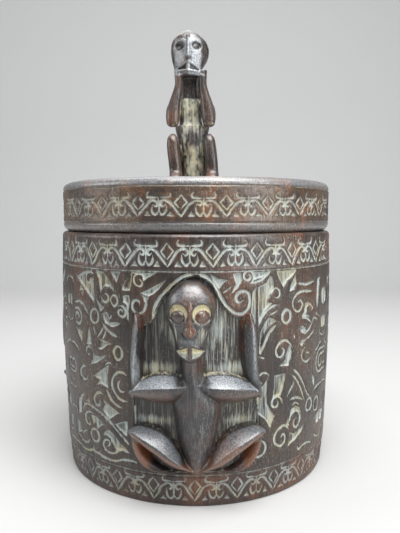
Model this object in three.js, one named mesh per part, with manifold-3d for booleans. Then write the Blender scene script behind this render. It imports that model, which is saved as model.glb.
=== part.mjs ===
// A carved ritual container: a hollowed log with three squatting figures standing out of its
// wall, a floor disc let in from below, and a lid with a seated figure as its handle.
// Millimetres, +Z up. The origin is the middle of the floor's underside, and the front is -Y.

import * as THREE from 'three';
import { mergeVertices } from 'three/addons/utils/BufferGeometryUtils.js';
import Module from 'manifold-3d';

const wasm = await Module();
wasm.setup();

// Driving dimensions of the container wall
const wallHeight = 169; // foot to rim
const footRadius = 95.8; // outside, at the foot
const footBandRadius = 98; // outside, at the top of the foot band
const bellyRadius = 100.4; // outside, where the wall is fullest
const bellyHeight = 118;
const rimRadius = 99.4; // outside, under the rounded rim
const rimRound = 2.8;
const footRound = 1.6;
const mouthRadius = 87; // inside, at the rim
const boreFootRadius = 84.5; // inside, above the floor
const footBandHeight = 20.6;
const upperBandHeight = 22.2;
const lineWidth = 1.6; // the incised lines that border the bands
const lineDepth = 0.8;

// Driving dimensions of the floor
const floorThickness = 12;
const floorLedge = 4.5; // how far the floor reaches under the wall
const seatGap = 0.3; // between pieces that touch at their sides

// Driving dimensions of the lid
const lidRadius = 98.6;
const lidHeight = 35; // rim to the outer edge of the top
const lidCrown = 2; // the middle of the top above that edge
const lidSeatRadius = 34; // the flat middle that carries the finial
const lidRollHeight = 6.4; // the rounded lower and upper edges
const lidRollInset = 5.4;
const plateThickness = 16;
const spigotDepth = 8; // the ring that locates the lid in the mouth
const spigotPlay = 1;
const spigotThickness = 10;
const hollowRound = 4;

// Driving dimensions of the finial and its peg
const finialHeight = 111;
const finialOffset = -3.8; // it stands a little left of the lid's middle
const headOffset = -0.8; // and its head a little further
const faceOffset = -0.8;
const tenonRadius = 8;
const tenonLength = 30;
const pegRadius = 3.5;
const pegLength = 40;

// Driving dimensions of the relief figures
const figureHeight = 118; // of the front one
const figureHalfWidth = 39;
const figureRoot = 4; // how deep the limbs' solids reach into the wall
const eyeSocketRadius = 5.9;
const eyeRadius = 3.9;
const eyeSpacing = 7.6; // from the middle of the face
const mouthHalfWidth = 8.2;
const mouthHeight = 7.6;
const mouthBar = 1.1; // half the width of the bar between the teeth

// Driving dimensions of the carved ground
const figureGround = 2.3; // depth round the figures
const scrollGround = 1.4; // depth between the tendrils of the fields

// The three figures round the wall, clockwise from the front as seen from above the rim
const figures = [
  { azimuth: -0.2, foot: 24, height: figureHeight, lean: -3.8 },
  { azimuth: -118.5, foot: 31, height: 111, lean: 1.2 },
  { azimuth: 122.5, foot: 26, height: 115, lean: -0.8 },
];

const turnSegments = 52;
const pinSegments = 24;
const radians = THREE.MathUtils.degToRad;
const mix = THREE.MathUtils.lerp;

// Solids

function solidOf(geometry) {
  const bare = geometry.index ? geometry.clone() : geometry;
  bare.deleteAttribute('normal');
  bare.deleteAttribute('uv');
  const merged = mergeVertices(bare, 1e-4);
  const vertProperties = Float32Array.from(merged.attributes.position.array);
  const triVerts = Uint32Array.from(merged.index.array);
  return new wasm.Manifold(new wasm.Mesh({ numProp: 3, vertProperties, triVerts }));
}

function geometryOf(solid) {
  const { vertProperties, triVerts } = solid.getMesh();
  const geometry = new THREE.BufferGeometry();
  geometry.setAttribute('position', new THREE.BufferAttribute(vertProperties, 3));
  geometry.setIndex(new THREE.BufferAttribute(triVerts, 1));
  return geometry;
}

// Turns a closed profile of [radius, height] points about +Z
function turned(profile, segments = turnSegments) {
  const points = [...profile, profile[0]].map(([r, z]) => new THREE.Vector2(r, z));
  return solidOf(new THREE.LatheGeometry(points, segments).rotateX(Math.PI / 2));
}

// Joins rings of equal length, each a list of [x, y, z], into one closed skin
function loft(rings) {
  const sides = rings[0].length;
  const position = rings.flat(2);
  const index = [];
  for (let i = 0; i + 1 < rings.length; i += 1) {
    for (let k = 0; k < sides; k += 1) {
      const a = i * sides + k;
      const b = i * sides + (k + 1) % sides;
      index.push(a, b, b + sides, a, b + sides, a + sides);
    }
  }
  const middle = (ring) => [0, 1, 2].map((c) => ring.reduce((sum, p) => sum + p[c], 0) / sides);
  const firstMiddle = position.length / 3;
  position.push(...middle(rings[0]), ...middle(rings.at(-1)));
  const last = (rings.length - 1) * sides;
  for (let k = 0; k < sides; k += 1) {
    const next = (k + 1) % sides;
    index.push(firstMiddle, next, k, firstMiddle + 1, last + k, last + next);
  }
  if (signedVolume(position, index) < 0) index.reverse();
  const geometry = new THREE.BufferGeometry();
  geometry.setAttribute('position', new THREE.Float32BufferAttribute(position, 3));
  geometry.setIndex(index);
  return solidOf(geometry);
}

function signedVolume(position, index) {
  const corner = (i) => new THREE.Vector3().fromArray(position, index[i] * 3);
  let volume = 0;
  for (let i = 0; i < index.length; i += 3) {
    volume += corner(i).dot(corner(i + 1).cross(corner(i + 2)));
  }
  return volume;
}

const joined = (solids) => solids.reduce((all, one) => all.add(one));

// A ring of points on a squared ellipse: power 2 is an ellipse, more is squarer
function ovalRing(sides, halfWidth, low, high, power, place) {
  return Array.from({ length: sides }, (_, k) => {
    const angle = ((k + 0.5) / sides) * 2 * Math.PI;
    const squared = (v) => Math.sign(v) * Math.abs(v) ** (2 / power);
    const across = halfWidth * squared(Math.cos(angle));
    const along = (low + high) / 2 + ((high - low) / 2) * squared(Math.sin(angle));
    return place(across, along);
  });
}

// The container wall

function wallRadiusAt(z) {
  if (z < footBandHeight) return mix(footRadius, footBandRadius, z / footBandHeight);
  if (z < bellyHeight) {
    const t = (z - footBandHeight) / (bellyHeight - footBandHeight);
    return mix(footBandRadius, bellyRadius, Math.sin((t * Math.PI) / 2));
  }
  const t = (z - bellyHeight) / (wallHeight - bellyHeight);
  return mix(bellyRadius, rimRadius, t * t);
}

// A V-shaped line cut round a turned piece whose radius is given at each height
function incisedLine(z, radiusAt) {
  return [
    [radiusAt(z - lineWidth / 2), z - lineWidth / 2],
    [radiusAt(z) - lineDepth, z],
    [radiusAt(z + lineWidth / 2), z + lineWidth / 2],
  ];
}

// A quarter round from one [radius, height] point to another, leaving the first along +radius
function quarterRound([r0, z0], [r1, z1], steps = 3) {
  return Array.from({ length: steps + 1 }, (_, k) => {
    const angle = (k / steps) * (Math.PI / 2);
    return [r0 + (r1 - r0) * Math.sin(angle), z1 + (z0 - z1) * Math.cos(angle)];
  });
}

const upperBandFoot = wallHeight - upperBandHeight;
const rebateRadius = boreFootRadius + floorLedge;

function wallProfile() {
  const field = [mix(footBandHeight, bellyHeight, 0.45), bellyHeight].map((z) => [wallRadiusAt(z), z]);
  const rimSide = wallHeight - rimRound;
  return [
    [rebateRadius, 0],
    ...quarterRound([footRadius - footRound, 0], [wallRadiusAt(footRound), footRound], 2),
    ...incisedLine(footBandHeight, wallRadiusAt),
    ...field,
    ...incisedLine(upperBandFoot, wallRadiusAt),
    ...quarterRound([rimRadius - rimRound, wallHeight], [wallRadiusAt(rimSide), rimSide]).reverse(),
    [mouthRadius, wallHeight],
    [boreFootRadius, floorThickness],
    [rebateRadius, floorThickness],
  ];
}

// The relief figures. A figure is drawn flat: u is across it, to the right as it is looked at,
// z is up from its foot and d is out from the wall. It is then laid round the wall.

const drawnHeight = 118;
const drawnHalfWidth = 39;
const leanStart = 38;
const leanSpan = 60;

function onWall(figure) {
  const grow = figure.height / drawnHeight;
  const widen = figureHalfWidth / drawnHalfWidth;
  return (u, z, d) => {
    const leaned = u * widen + figure.lean * Math.max(0, (z - leanStart) / leanSpan);
    const angle = radians(figure.azimuth) + leaned / bellyRadius;
    const height = figure.foot + z * grow;
    const radius = wallRadiusAt(height) + d;
    return [radius * Math.sin(angle), -radius * Math.cos(angle), height];
  };
}

// Stations of the limbs that run across: [u, upper edge, ridge, lower edge, height of the ridge]
const upperArmStations = [
  [2, 60.5, 56, 51.5, 8],
  [8, 63.5, 55.5, 49.5, 10.5],
  [18, 64.5, 55, 47.8, 11.5],
  [25, 61, 54, 47.8, 11],
  [30, 55.5, 52.5, 48.3, 10],
  [35, 50.5, 50, 49.3, 7],
];
const thighStations = [
  [1, 9, 6.5, 3.5, 6],
  [7, 17, 9.5, 5, 8.5],
  [13, 26, 13, 7, 10.5],
  [20, 31.5, 18.3, 10.8, 11.5],
  [27, 33.3, 22.3, 15.4, 11.5],
  [33, 33, 26, 19.3, 10.5],
  [37, 30, 28, 23.5, 8.5],
  [39, 26.8, 26, 25.2, 5],
];
// Stations of the limbs that run up: [z, inner edge, ridge, outer edge, height of the ridge]
const forearmStations = [
  [48, 30.5, 34, 37.5, 6.5],
  [54, 28, 33, 37.8, 8],
  [66, 27.6, 32.8, 37.8, 8],
  [81, 27.5, 33, 38, 7.5],
  [92, 28.5, 33, 37.5, 6],
  [97, 31, 33.5, 36, 3.5],
];
const shinStations = [
  [0.5, 16, 27, 33, 3],
  [6, 20.5, 30, 35.5, 4.8],
  [12, 25, 33, 37.5, 6.2],
  [20, 29.5, 35.5, 39.2, 7.4],
  [26, 31, 36, 38.8, 7.6],
];
// Stations of the trunk and neck, and of the head: [z, half width, height of the front]
const trunkStations = [
  [0, 2.5, 3.5],
  [6, 6.5, 6.5],
  [16, 9.8, 7.8],
  [28, 12.2, 8.6],
  [40, 13.2, 9.3],
  [47, 14, 9.6],
  [52, 11, 9.4],
  [60, 7, 9],
  [68, 6.5, 8.5],
  [76, 6.2, 8],
];
const headStations = [
  [72.2, 5.5, 13.2],
  [73.5, 8, 14.6],
  [77, 9.6, 15.4],
  [82, 10.3, 15.2],
  [88, 11.8, 15],
  [94, 13.2, 14.6],
  [100, 14.3, 14.4],
  [106, 14.4, 13.8],
  [110, 13.2, 12.2],
  [114, 10.5, 9.6],
  [116.5, 7.5, 6.8],
  [118, 4, 3.4],
];
// Stations of the nose: [z, half width, height of its ridge]
const noseStations = [
  [86, 1.2, 16.4],
  [88, 3.5, 17.4],
  [91, 2.6, 17.2],
  [98, 1.9, 16.4],
  [107, 1.6, 14.8],
];
const edgeShare = 0.25; // height of a limb's edges, as a share of its ridge
const swellShare = 0.1; // how far its faces swell
const trunkEdgeShare = 0.5;
const noseFoot = 12; // where the nose's sides meet the face
const eyeLine = 99.3;
const eyeDrop = 1; // the eyes sit low in their sockets
const eyeSunk = 0.5; // and a little under the face
const mouthLine = 77.3;
const carveDepth = 2;
const carveClear = 6; // how far the carving tools reach past the face

function knifeSection(edgeA, ridge, edgeB, height, share) {
  const low = height * share;
  const swelled = (low + height) / 2 + height * swellShare;
  return [
    [edgeA, -figureRoot],
    [edgeA, low],
    [(edgeA + ridge) / 2, swelled],
    [ridge, height],
    [(ridge + edgeB) / 2, swelled],
    [edgeB, low],
    [edgeB, -figureRoot],
  ];
}

// A limb that runs along u on one side of the figure, and one that runs along z
const limbAcross = (stations, side, place) => loft(stations.map(([u, top, ridge, low, height]) =>
  knifeSection(top, ridge, low, height, edgeShare).map(([z, d]) => place(side * u, z, d))));
const limbUp = (stations, side, place) => loft(stations.map(([z, inner, ridge, outer, height]) =>
  knifeSection(inner, ridge, outer, height, edgeShare).map(([u, d]) => place(side * u, z, d))));

function trunk(place) {
  return loft(trunkStations.map(([z, half, height]) =>
    knifeSection(-half, 0, half, height, trunkEdgeShare).map(([u, d]) => place(u, z, d))));
}

const headSides = 14;
const headPower = 2.5;
const head = (place) => loft(headStations.map(([z, half, height]) =>
  ovalRing(headSides, half, -height, height, headPower, (u, d) => place(u, z, Math.max(d, -figureRoot)))));

function nose(place) {
  return loft(noseStations.map(([z, half, height]) =>
    [[-half, noseFoot], [0, height], [half, noseFoot]].map(([u, d]) => place(u, z, d))));
}

// How far the head stands out at a place on the face
function faceHeight(u, z) {
  const above = headStations.findIndex((station) => station[0] > z);
  const [[z0, half0, height0], [z1, half1, height1]] = headStations.slice(above - 1, above + 1);
  const t = (z - z0) / (z1 - z0);
  const share = Math.min(1, Math.abs(u) / mix(half0, half1, t));
  return mix(height0, height1, t) * (1 - share ** headPower) ** (1 / headPower);
}

// A plug that stands square to the wall over an outline of [u, z] points on the face, from a
// depth under the face to a height over it
function plug(outline, depth, height, place) {
  return loft([-depth, height].map((offset) =>
    outline.map(([u, z]) => place(u, z, faceHeight(u, z) + offset))));
}

function circle(u, z, radius, sides) {
  return Array.from({ length: sides }, (_, k) => {
    const angle = (k / sides) * 2 * Math.PI;
    return [u + radius * Math.cos(angle), z + radius * Math.sin(angle)];
  });
}

function reliefFigure(figure) {
  const place = onWall(figure);
  const sides = [-1, 1];
  const limbs = sides.flatMap((side) => [
    limbAcross(upperArmStations, side, place),
    limbAcross(thighStations, side, place),
    limbUp(forearmStations, side, place),
    limbUp(shinStations, side, place),
  ]);
  const teeth = (side) => [
    [side * mouthBar, mouthLine + mouthHeight / 2],
    [side * mouthHalfWidth, mouthLine],
    [side * mouthBar, mouthLine - mouthHeight / 2],
  ];
  const cuts = sides.flatMap((side) => [
    plug(circle(side * eyeSpacing, eyeLine, eyeSocketRadius, 12), carveDepth, carveClear, place),
    plug(teeth(side), carveDepth, carveClear, place),
  ]);
  const eyes = sides.map((side) =>
    plug(circle(side * eyeSpacing, eyeLine - eyeDrop, eyeRadius, 8), carveClear, -eyeSunk, place));
  return joined([joined([head(place), trunk(place), ...limbs]).subtract(joined(cuts)), nose(place), ...eyes]);
}

// The carved ground. It is drawn flat on a half field, from the middle of a figure to the middle
// of the field beside it: u is the arc from the figure at the drawn radius, z is the height above
// the foot. Left and right half fields differ, and the two halves of a field mirror each other.

const drawnRadius = 100;
const clearOfWall = 4; // how far the carving tools reach out past the wall
// Stations of the ground round a figure: [u, lower edge, upper edge], first by its drawn left side
const figureGroundStations = {
  left: [
    [0, 22.3, 144.4],
    [10, 22.6, 141],
    [21, 23.2, 130.2],
    [25.2, 23.7, 118],
    [35, 28.4, 112.5],
    [38.6, 36, 76],
    [40.4, 46, 58],
  ],
  right: [
    [0, 22.3, 144.4],
    [8.3, 22.5, 140.1],
    [18.5, 22.9, 123.9],
    [31, 25, 118.4],
    [35, 28.4, 112.5],
    [38.6, 36, 76],
    [40.4, 46, 58],
  ],
};
// Corners [u, z] of the leaf-shaped grounds between the tendrils
const scrollGrounds = {
  left: [
    [[91.5, 140.3], [72, 146], [70, 124]],
    [[66.4, 145.6], [54.5, 136.4], [65.2, 130.5]],
    [[71, 102], [55, 100.3], [70.4, 95.6]],
    [[95.2, 106.2], [84.3, 104.4], [85.6, 96.1]],
    [[73, 75.2], [58.4, 87.2], [59.8, 71]],
    [[66.8, 65.6], [50.6, 56.2], [60.7, 50.4]],
    [[68.3, 38.2], [61, 43.9], [51.5, 36.6], [55.6, 30]],
  ],
  right: [
    [[38.2, 137], [49.4, 141], [44, 122.2], [38.4, 112.8]],
    [[51, 146], [57.3, 134.8], [67, 145.4]],
    [[93, 138.6], [98, 138.6], [94.2, 115.8]],
    [[53, 115.4], [45.8, 118], [39.8, 109], [39.6, 96.5]],
    [[55.4, 85.6], [63.4, 99.2], [63.8, 85.6]],
    [[52.4, 54.3], [49.1, 46.6], [37, 60]],
    [[50.6, 80.6], [60.7, 80.8], [50.2, 66]],
    [[64.6, 30.4], [82.6, 41.8], [66, 40]],
  ],
};
const drawnReach = { left: 103.35, right: 107.16 }; // arc from a figure to the middle of a field
const middleOf = (a, b) => (a.azimuth + b.azimuth) / 2;
const [frontFigure, leftFigure, rightFigure] = figures;
const backMiddle = middleOf(leftFigure, rightFigure) + 180;
// Half fields: the figure that they start at, the azimuth that they end at, and their drawing
const halfFields = [
  [frontFigure, middleOf(frontFigure, leftFigure), 'left'],
  [frontFigure, middleOf(frontFigure, rightFigure), 'right'],
  [leftFigure, middleOf(frontFigure, leftFigure), 'left'],
  [leftFigure, backMiddle - 360, 'left'],
  [rightFigure, middleOf(frontFigure, rightFigure), 'right'],
  [rightFigure, backMiddle, 'left'],
];

function onHalfField([figure, end, drawing]) {
  const turn = radians(end - figure.azimuth) / drawnReach[drawing];
  return (u, z, d) => {
    const angle = radians(figure.azimuth) + u * turn;
    const radius = wallRadiusAt(z) + d;
    return [radius * Math.sin(angle), -radius * Math.cos(angle), z];
  };
}

// The tools that cut one half field
function groundTools(halfField) {
  const place = onHalfField(halfField);
  const drawing = halfField[2];
  const section = (low, high) => [
    [low, -figureGround],
    [mix(low, high, 0.5), -figureGround],
    [high, -figureGround],
    [high, clearOfWall],
    [low, clearOfWall],
  ];
  const roundFigure = loft(figureGroundStations[drawing].map(([u, low, high]) =>
    section(low, high).map(([z, d]) => place(u, z, d))));
  const leaves = scrollGrounds[drawing].map((corners) =>
    loft([-scrollGround, clearOfWall].map((d) => corners.map(([u, z]) => place(u, z, d)))));
  return [roundFigure, ...leaves];
}

// The floor, with its upper face against the ledge in the wall
const floorRadius = rebateRadius - seatGap;
const floorSolid = turned([[0, 0], [floorRadius, 0], [floorRadius, floorThickness], [0, floorThickness]]);

// The lid

const lidEdgeHeight = wallHeight + lidHeight;
const seatHeight = lidEdgeHeight + lidCrown;
const ceilingHeight = seatHeight - plateThickness;
const spigotRadius = mouthRadius - spigotPlay;
const hollowRadius = spigotRadius - spigotThickness;
const spigotFoot = wallHeight - spigotDepth;
const spigotChamfer = 1.5;

function lidProfile() {
  const side = () => lidRadius;
  const lowerRoll = quarterRound(
    [lidRadius - lidRollInset, wallHeight],
    [lidRadius, wallHeight + lidRollHeight - lineWidth / 2],
  );
  const upperRoll = quarterRound(
    [lidRadius - lidRollInset, lidEdgeHeight],
    [lidRadius, lidEdgeHeight - lidRollHeight + lineWidth / 2],
  ).reverse();
  return [
    [hollowRadius, spigotFoot],
    [spigotRadius - spigotChamfer, spigotFoot],
    [spigotRadius, spigotFoot + spigotChamfer],
    [spigotRadius, wallHeight],
    ...lowerRoll.slice(0, -1),
    ...incisedLine(wallHeight + lidRollHeight, side),
    ...incisedLine(lidEdgeHeight - lidRollHeight, side),
    ...upperRoll.slice(1),
    [lidSeatRadius, seatHeight],
    [0, seatHeight],
    [0, ceilingHeight],
    [hollowRadius - hollowRound, ceilingHeight],
    [hollowRadius, ceilingHeight - hollowRound],
  ];
}

const upright = (radius, low, high, x = finialOffset) => {
  const pin = new THREE.CylinderGeometry(radius, radius, high - low, pinSegments);
  return solidOf(pin.rotateX(Math.PI / 2).translate(x, 0, (low + high) / 2));
};
const across = (radius, length, z) => {
  const pin = new THREE.CylinderGeometry(radius, radius, length, pinSegments);
  return solidOf(pin.rotateZ(Math.PI / 2).translate(finialOffset, 0, z));
};

const pegHeight = ceilingHeight - pegRadius - seatGap;
const lidSolid = turned(lidProfile()).subtract(
  upright(tenonRadius + seatGap, ceilingHeight - 1, seatHeight + 1),
);
const pegSolid = across(pegRadius, pegLength, pegHeight);

// The finial, a seated figure with its hands at its cheeks. Heights are above the lid, and the
// figure looks along -Y.

const drawnFinial = 111;
const finialGrow = finialHeight / drawnFinial;
const atFinial = (x, y, h) => [
  finialOffset + x * finialGrow,
  y * finialGrow,
  seatHeight + h * finialGrow,
];

// Stations up the body: [height, half width, front, back]
const bodyStations = [
  [0, 8.2, -8, 11],
  [12, 9, -9.5, 12],
  [26, 10.2, -10.5, 11],
  [38, 10.8, -10.5, 9.5],
  [40.4, 10.4, -10.2, 9],
  [41.4, 6.8, -7, 8.5],
  [52, 7, -6.8, 8],
  [59.6, 7.4, -6.5, 8],
  [60.6, 6, -5.6, 6],
  [78, 6, -6, 5],
];
// The shoulders, behind the chest and neck
const shoulderStations = [
  [46, 7.6, 0, 9.4],
  [54, 11, 0.5, 9.6],
  [60, 12, 1, 9],
  [63, 9.4, 2, 7.6],
  [65.5, 5.5, 2.6, 6],
];
const skullStations = [
  [75.5, 9.6, -13.6, -1],
  [77, 10.9, -15, 1.5],
  [84, 12.2, -15.8, 6],
  [90, 13.4, -16, 9],
  [96, 14.3, -15.6, 11],
  [101, 14.3, -14.2, 11.5],
  [105, 12.8, -12, 10],
  [108.5, 9.5, -8.8, 7],
  [110.4, 5.5, -5, 3.6],
  [111, 2.5, -2.6, 1.4],
];
// Stations up a limb: [height, middle x, middle y, half width, half depth]
const finialShin = [
  [0, 13.8, -15.4, 4.8, 8.4],
  [2.6, 13.9, -14.8, 5, 7.6],
  [6.5, 13.9, -12.9, 4.9, 5.4],
  [26, 13.9, -13, 5.2, 5.4],
  [32, 13.9, -12.8, 4.4, 4.8],
  [35, 13.8, -12.4, 2.4, 2.6],
];
const finialForearm = [
  [39.7, 14, -13, 2.6, 2.6],
  [41.4, 13.9, -13.1, 4.6, 4.6],
  [47, 13.5, -13, 5, 5],
  [57, 11.8, -12.2, 4.2, 4.4],
  [68, 10.4, -11.6, 3.4, 4],
  [81, 9.8, -11.4, 2.8, 3.2],
];
const finialUpperArm = [
  [41.8, 14, -10.6, 3.6, 4],
  [47, 14.2, -8, 4.8, 5.4],
  [54, 13.2, -3, 5.2, 5.6],
  [60, 10.4, 1, 4.6, 5.2],
  [62.6, 8, 2, 2.6, 3],
];
// Stations back along the thigh: [y, middle x, middle height, half width, half height]
const finialThigh = [
  [-14, 13.8, 27.5, 4.4, 5.6],
  [-6, 13, 22, 5, 7],
  [4, 11.4, 14, 5, 8],
  [10, 9, 9.5, 3.6, 7.5],
];
// Stations of the nose: [height, half width, front]
const finialNose = [
  [86.6, 2.6, -18.2],
  [87.4, 3.1, -18.8],
  [90, 2.2, -18.4],
  [96, 1.5, -17.4],
  [103, 1.2, -15],
];
const finialEye = { height: 95.3, x: 6.2, halfWidth: 3, halfHeight: 2 };
const finialMouth = { low: 78, high: 84, halfWidth: 9.4, bar: 1.1 };
const finialLip = 1.4; // wood left round the cuts of the mouth
const finialCarve = 1.6;
const faceFront = -15.8;
const finialLimbSides = 8;

function levelLoft(stations, sides, power, shift = 0) {
  return loft(stations.map(([h, half, front, back]) =>
    ovalRing(sides, half, front, back, power, (x, y) => atFinial(x + shift, y, h))));
}

function finialLimbUp(stations, side) {
  return loft(stations.map(([h, x, y, halfWidth, halfDepth]) =>
    ovalRing(finialLimbSides, halfWidth, y - halfDepth, y + halfDepth, 2.3, (dx, yy) =>
      atFinial(side * (x + dx), yy, h))));
}

function finialThighSolid(side) {
  return loft(finialThigh.map(([y, x, h, halfWidth, halfHeight]) =>
    ovalRing(finialLimbSides, halfWidth, h - halfHeight, h + halfHeight, 2.3, (dx, hh) =>
      atFinial(side * (x + dx), y, Math.max(hh, 0)))));
}

// A plug along Y through the face over an outline of [x, height] points
function facePlug(outline, front, back) {
  return loft([front, back].map((y) => outline.map(([x, h]) => atFinial(x + headOffset + faceOffset, y, h))));
}

function finialSolid() {
  const sides = [-1, 1];
  const limbs = sides.flatMap((side) => [
    finialLimbUp(finialShin, side),
    finialLimbUp(finialForearm, side),
    finialLimbUp(finialUpperArm, side),
    finialThighSolid(side),
  ]);
  const eye = (side) => Array.from({ length: 10 }, (_, k) => {
    const angle = (k / 10) * 2 * Math.PI;
    return [
      side * finialEye.x + finialEye.halfWidth * Math.cos(angle),
      finialEye.height + finialEye.halfHeight * Math.sin(angle),
    ];
  });
  const teeth = (side) => [
    [side * finialMouth.bar, finialMouth.high - finialLip],
    [side * (finialMouth.halfWidth - 2 * finialLip), finialMouth.low + finialLip / 2],
    [side * finialMouth.bar, finialMouth.low + finialLip / 2],
  ];
  const clear = faceFront * 2;
  const cuts = sides.flatMap((side) => [
    facePlug(eye(side), clear, faceFront + finialCarve),
    facePlug(teeth(side), clear, faceFront + finialCarve),
  ]);
  const noseSolid = loft(finialNose.map(([h, half, front]) =>
    [[-half, faceFront + finialCarve * 2], [0, front], [half, faceFront + finialCarve * 2]].map(([x, y]) =>
      atFinial(x + headOffset + faceOffset, y, h))));
  const skull = levelLoft(skullStations, 18, 2.7, headOffset);
  const body = levelLoft(bodyStations, 12, 2.8);
  const shoulders = levelLoft(shoulderStations, 10, 2.6);
  const tenon = upright(tenonRadius, seatHeight - tenonLength, seatHeight + 4);
  return joined([body, shoulders, tenon, ...limbs, skull.subtract(joined(cuts)), noseSolid])
    .subtract(across(pegRadius + seatGap, pegLength, pegHeight));
}

// The assembly

const container = new THREE.Group();
const lidGroup = new THREE.Group();
const model = new THREE.Group();
model.add(container, lidGroup);

function piece(group, name, solid, color, roughness) {
  const material = new THREE.MeshStandardMaterial({ color, roughness, metalness: 0 });
  const mesh = new THREE.Mesh(geometryOf(solid), material);
  mesh.name = name;
  group.add(mesh);
}

const groundedWall = turned(wallProfile()).subtract(joined(halfFields.flatMap(groundTools)));
const wallSolid = joined([groundedWall, ...figures.map(reliefFigure)]);
piece(container, 'container_wall', wallSolid, 0x3a2c26, 0.5);
piece(container, 'floor_disc', floorSolid, 0x4a3426, 0.7);
piece(lidGroup, 'lid', lidSolid, 0x4b3b31, 0.5);
piece(lidGroup, 'finial_figure', finialSolid(), 0x4a3328, 0.45);
piece(lidGroup, 'finial_peg', pegSolid, 0x5a4030, 0.7);

export default model;
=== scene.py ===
# %% [markdown]
# # A carved ritual container
#
# A lidded wooden box, carved from a log: scrollwork and three squatting figures round its wall,
# bands of diamonds and curls at its foot, rim and lid, and a seated figure as the lid's handle.
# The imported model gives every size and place. This lesson dresses it: the wall and the lid get
# dense skins that are carved by moving their points, and the figures are lofted, fused and cut.

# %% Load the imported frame
import math

import bmesh
import bpy
import numpy as np
from mathutils import Euler, Matrix, Vector


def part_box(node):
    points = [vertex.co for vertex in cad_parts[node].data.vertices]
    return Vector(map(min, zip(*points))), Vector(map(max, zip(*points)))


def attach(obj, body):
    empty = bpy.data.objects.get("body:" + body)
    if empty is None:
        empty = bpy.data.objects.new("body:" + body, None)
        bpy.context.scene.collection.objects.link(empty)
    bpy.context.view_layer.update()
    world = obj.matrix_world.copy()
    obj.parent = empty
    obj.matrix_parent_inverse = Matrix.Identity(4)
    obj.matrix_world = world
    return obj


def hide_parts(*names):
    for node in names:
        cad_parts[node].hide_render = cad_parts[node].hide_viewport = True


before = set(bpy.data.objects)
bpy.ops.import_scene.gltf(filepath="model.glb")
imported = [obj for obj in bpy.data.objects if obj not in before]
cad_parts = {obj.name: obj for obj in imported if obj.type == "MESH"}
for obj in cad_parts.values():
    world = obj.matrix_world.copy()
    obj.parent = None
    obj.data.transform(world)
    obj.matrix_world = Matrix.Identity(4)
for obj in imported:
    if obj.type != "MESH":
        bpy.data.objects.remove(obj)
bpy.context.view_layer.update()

# %% [markdown]
# The carver worked in millimetres, so this script does too, and turns to metres only when a
# mesh is laid in its place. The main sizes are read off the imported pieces. The others are the
# sizes of the real object that no box gives, such as the radius of the bands.

# %% Sizes of the container
MM = 0.001


def box_mm(node):
    """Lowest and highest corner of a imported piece, in millimetres."""
    low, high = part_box(node)
    return low / MM, high / MM


wall_high = box_mm("container_wall")[1]
floor_high = box_mm("floor_disc")[1]
lid_low, lid_high = box_mm("lid")

WALL_TOP = wall_high.z
BELLY_RADIUS = wall_high.y       # no figure stands at the very back, so this is the bare wall
BELLY_HEIGHT = 118
FOOT_RADIUS = 95.8
FOOT_BAND_RADIUS = 98
RIM_RADIUS = 99.4
FOOT_BAND_TOP = 20.6
UPPER_BAND_FOOT = 146.8
RIM_ROUND = 2.8
FOOT_ROUND = 1.6
MOUTH_RADIUS = 87
BORE_FOOT_RADIUS = 84.5
FLOOR_TOP = floor_high.z
REBATE_RADIUS = floor_high.x + 0.3
LID_TOP = lid_high.z
LID_RADIUS = lid_high.x
ARC_RADIUS = 100                 # arcs round the wall are measured at this radius
print("wall", round(WALL_TOP, 1), "high,", round(2 * BELLY_RADIUS, 1), "across; lid top", round(LID_TOP, 1))


def wall_radius(height):
    """Outer radius of the uncarved wall at each height."""
    height = np.asarray(height, float)
    foot = FOOT_RADIUS + (FOOT_BAND_RADIUS - FOOT_RADIUS) * height / FOOT_BAND_TOP
    rise = np.clip((height - FOOT_BAND_TOP) / (BELLY_HEIGHT - FOOT_BAND_TOP), 0, 1)
    belly = FOOT_BAND_RADIUS + (BELLY_RADIUS - FOOT_BAND_RADIUS) * np.sin(rise * math.pi / 2)
    draw_in = np.clip((height - BELLY_HEIGHT) / (WALL_TOP - BELLY_HEIGHT), 0, 1)
    shoulder = BELLY_RADIUS + (RIM_RADIUS - BELLY_RADIUS) * draw_in ** 2
    return np.where(height < FOOT_BAND_TOP, foot, np.where(height < BELLY_HEIGHT, belly, shoulder))


def bore_place(height):
    """Radius and height of the bore, which opens a little from the floor to the mouth."""
    share = (height - FLOOR_TOP) / (WALL_TOP - FLOOR_TOP)
    return BORE_FOOT_RADIUS + (MOUTH_RADIUS - BORE_FOOT_RADIUS) * share, height


# %% [markdown]
# The camera comes first, because every later choice is judged through it. The photograph was
# taken from an arm's length in front of the container, at the height of its rim and looking a
# little down. A focal length of 537 pixels on a frame 533 pixels high makes a 36 mm lens.

# %% Camera
IMAGE_WIDTH = 400
IMAGE_HEIGHT = 533
FOCAL_PIXELS = 536.9
SENSOR = 36
CAMERA_PLACE = (-0.00186, -0.4137, 0.17875)
CAMERA_PITCH = 5.24              # degrees, looking down
CAMERA_YAW = 0.67                # towards +X
CAMERA_ROLL = 0.09

camera_data = bpy.data.cameras.new("camera")
camera_data.sensor_width = SENSOR
camera_data.lens = FOCAL_PIXELS / max(IMAGE_WIDTH, IMAGE_HEIGHT) * SENSOR
camera_data.clip_start = 0.01
camera = bpy.data.objects.new("camera", camera_data)
camera.location = CAMERA_PLACE
camera.rotation_euler = Euler(
    (math.radians(90 - CAMERA_PITCH), math.radians(CAMERA_ROLL), math.radians(-CAMERA_YAW))
)
bpy.context.scene.collection.objects.link(camera)
bpy.context.scene.camera = camera
print("lens", round(camera_data.lens, 1), "mm")

# %% [markdown]
# The studio is a pale cove: a floor that curves up into a backdrop, so that no line runs behind
# the object. One grid of faces is laid flat, and the part behind the bend is rolled up.

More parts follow.
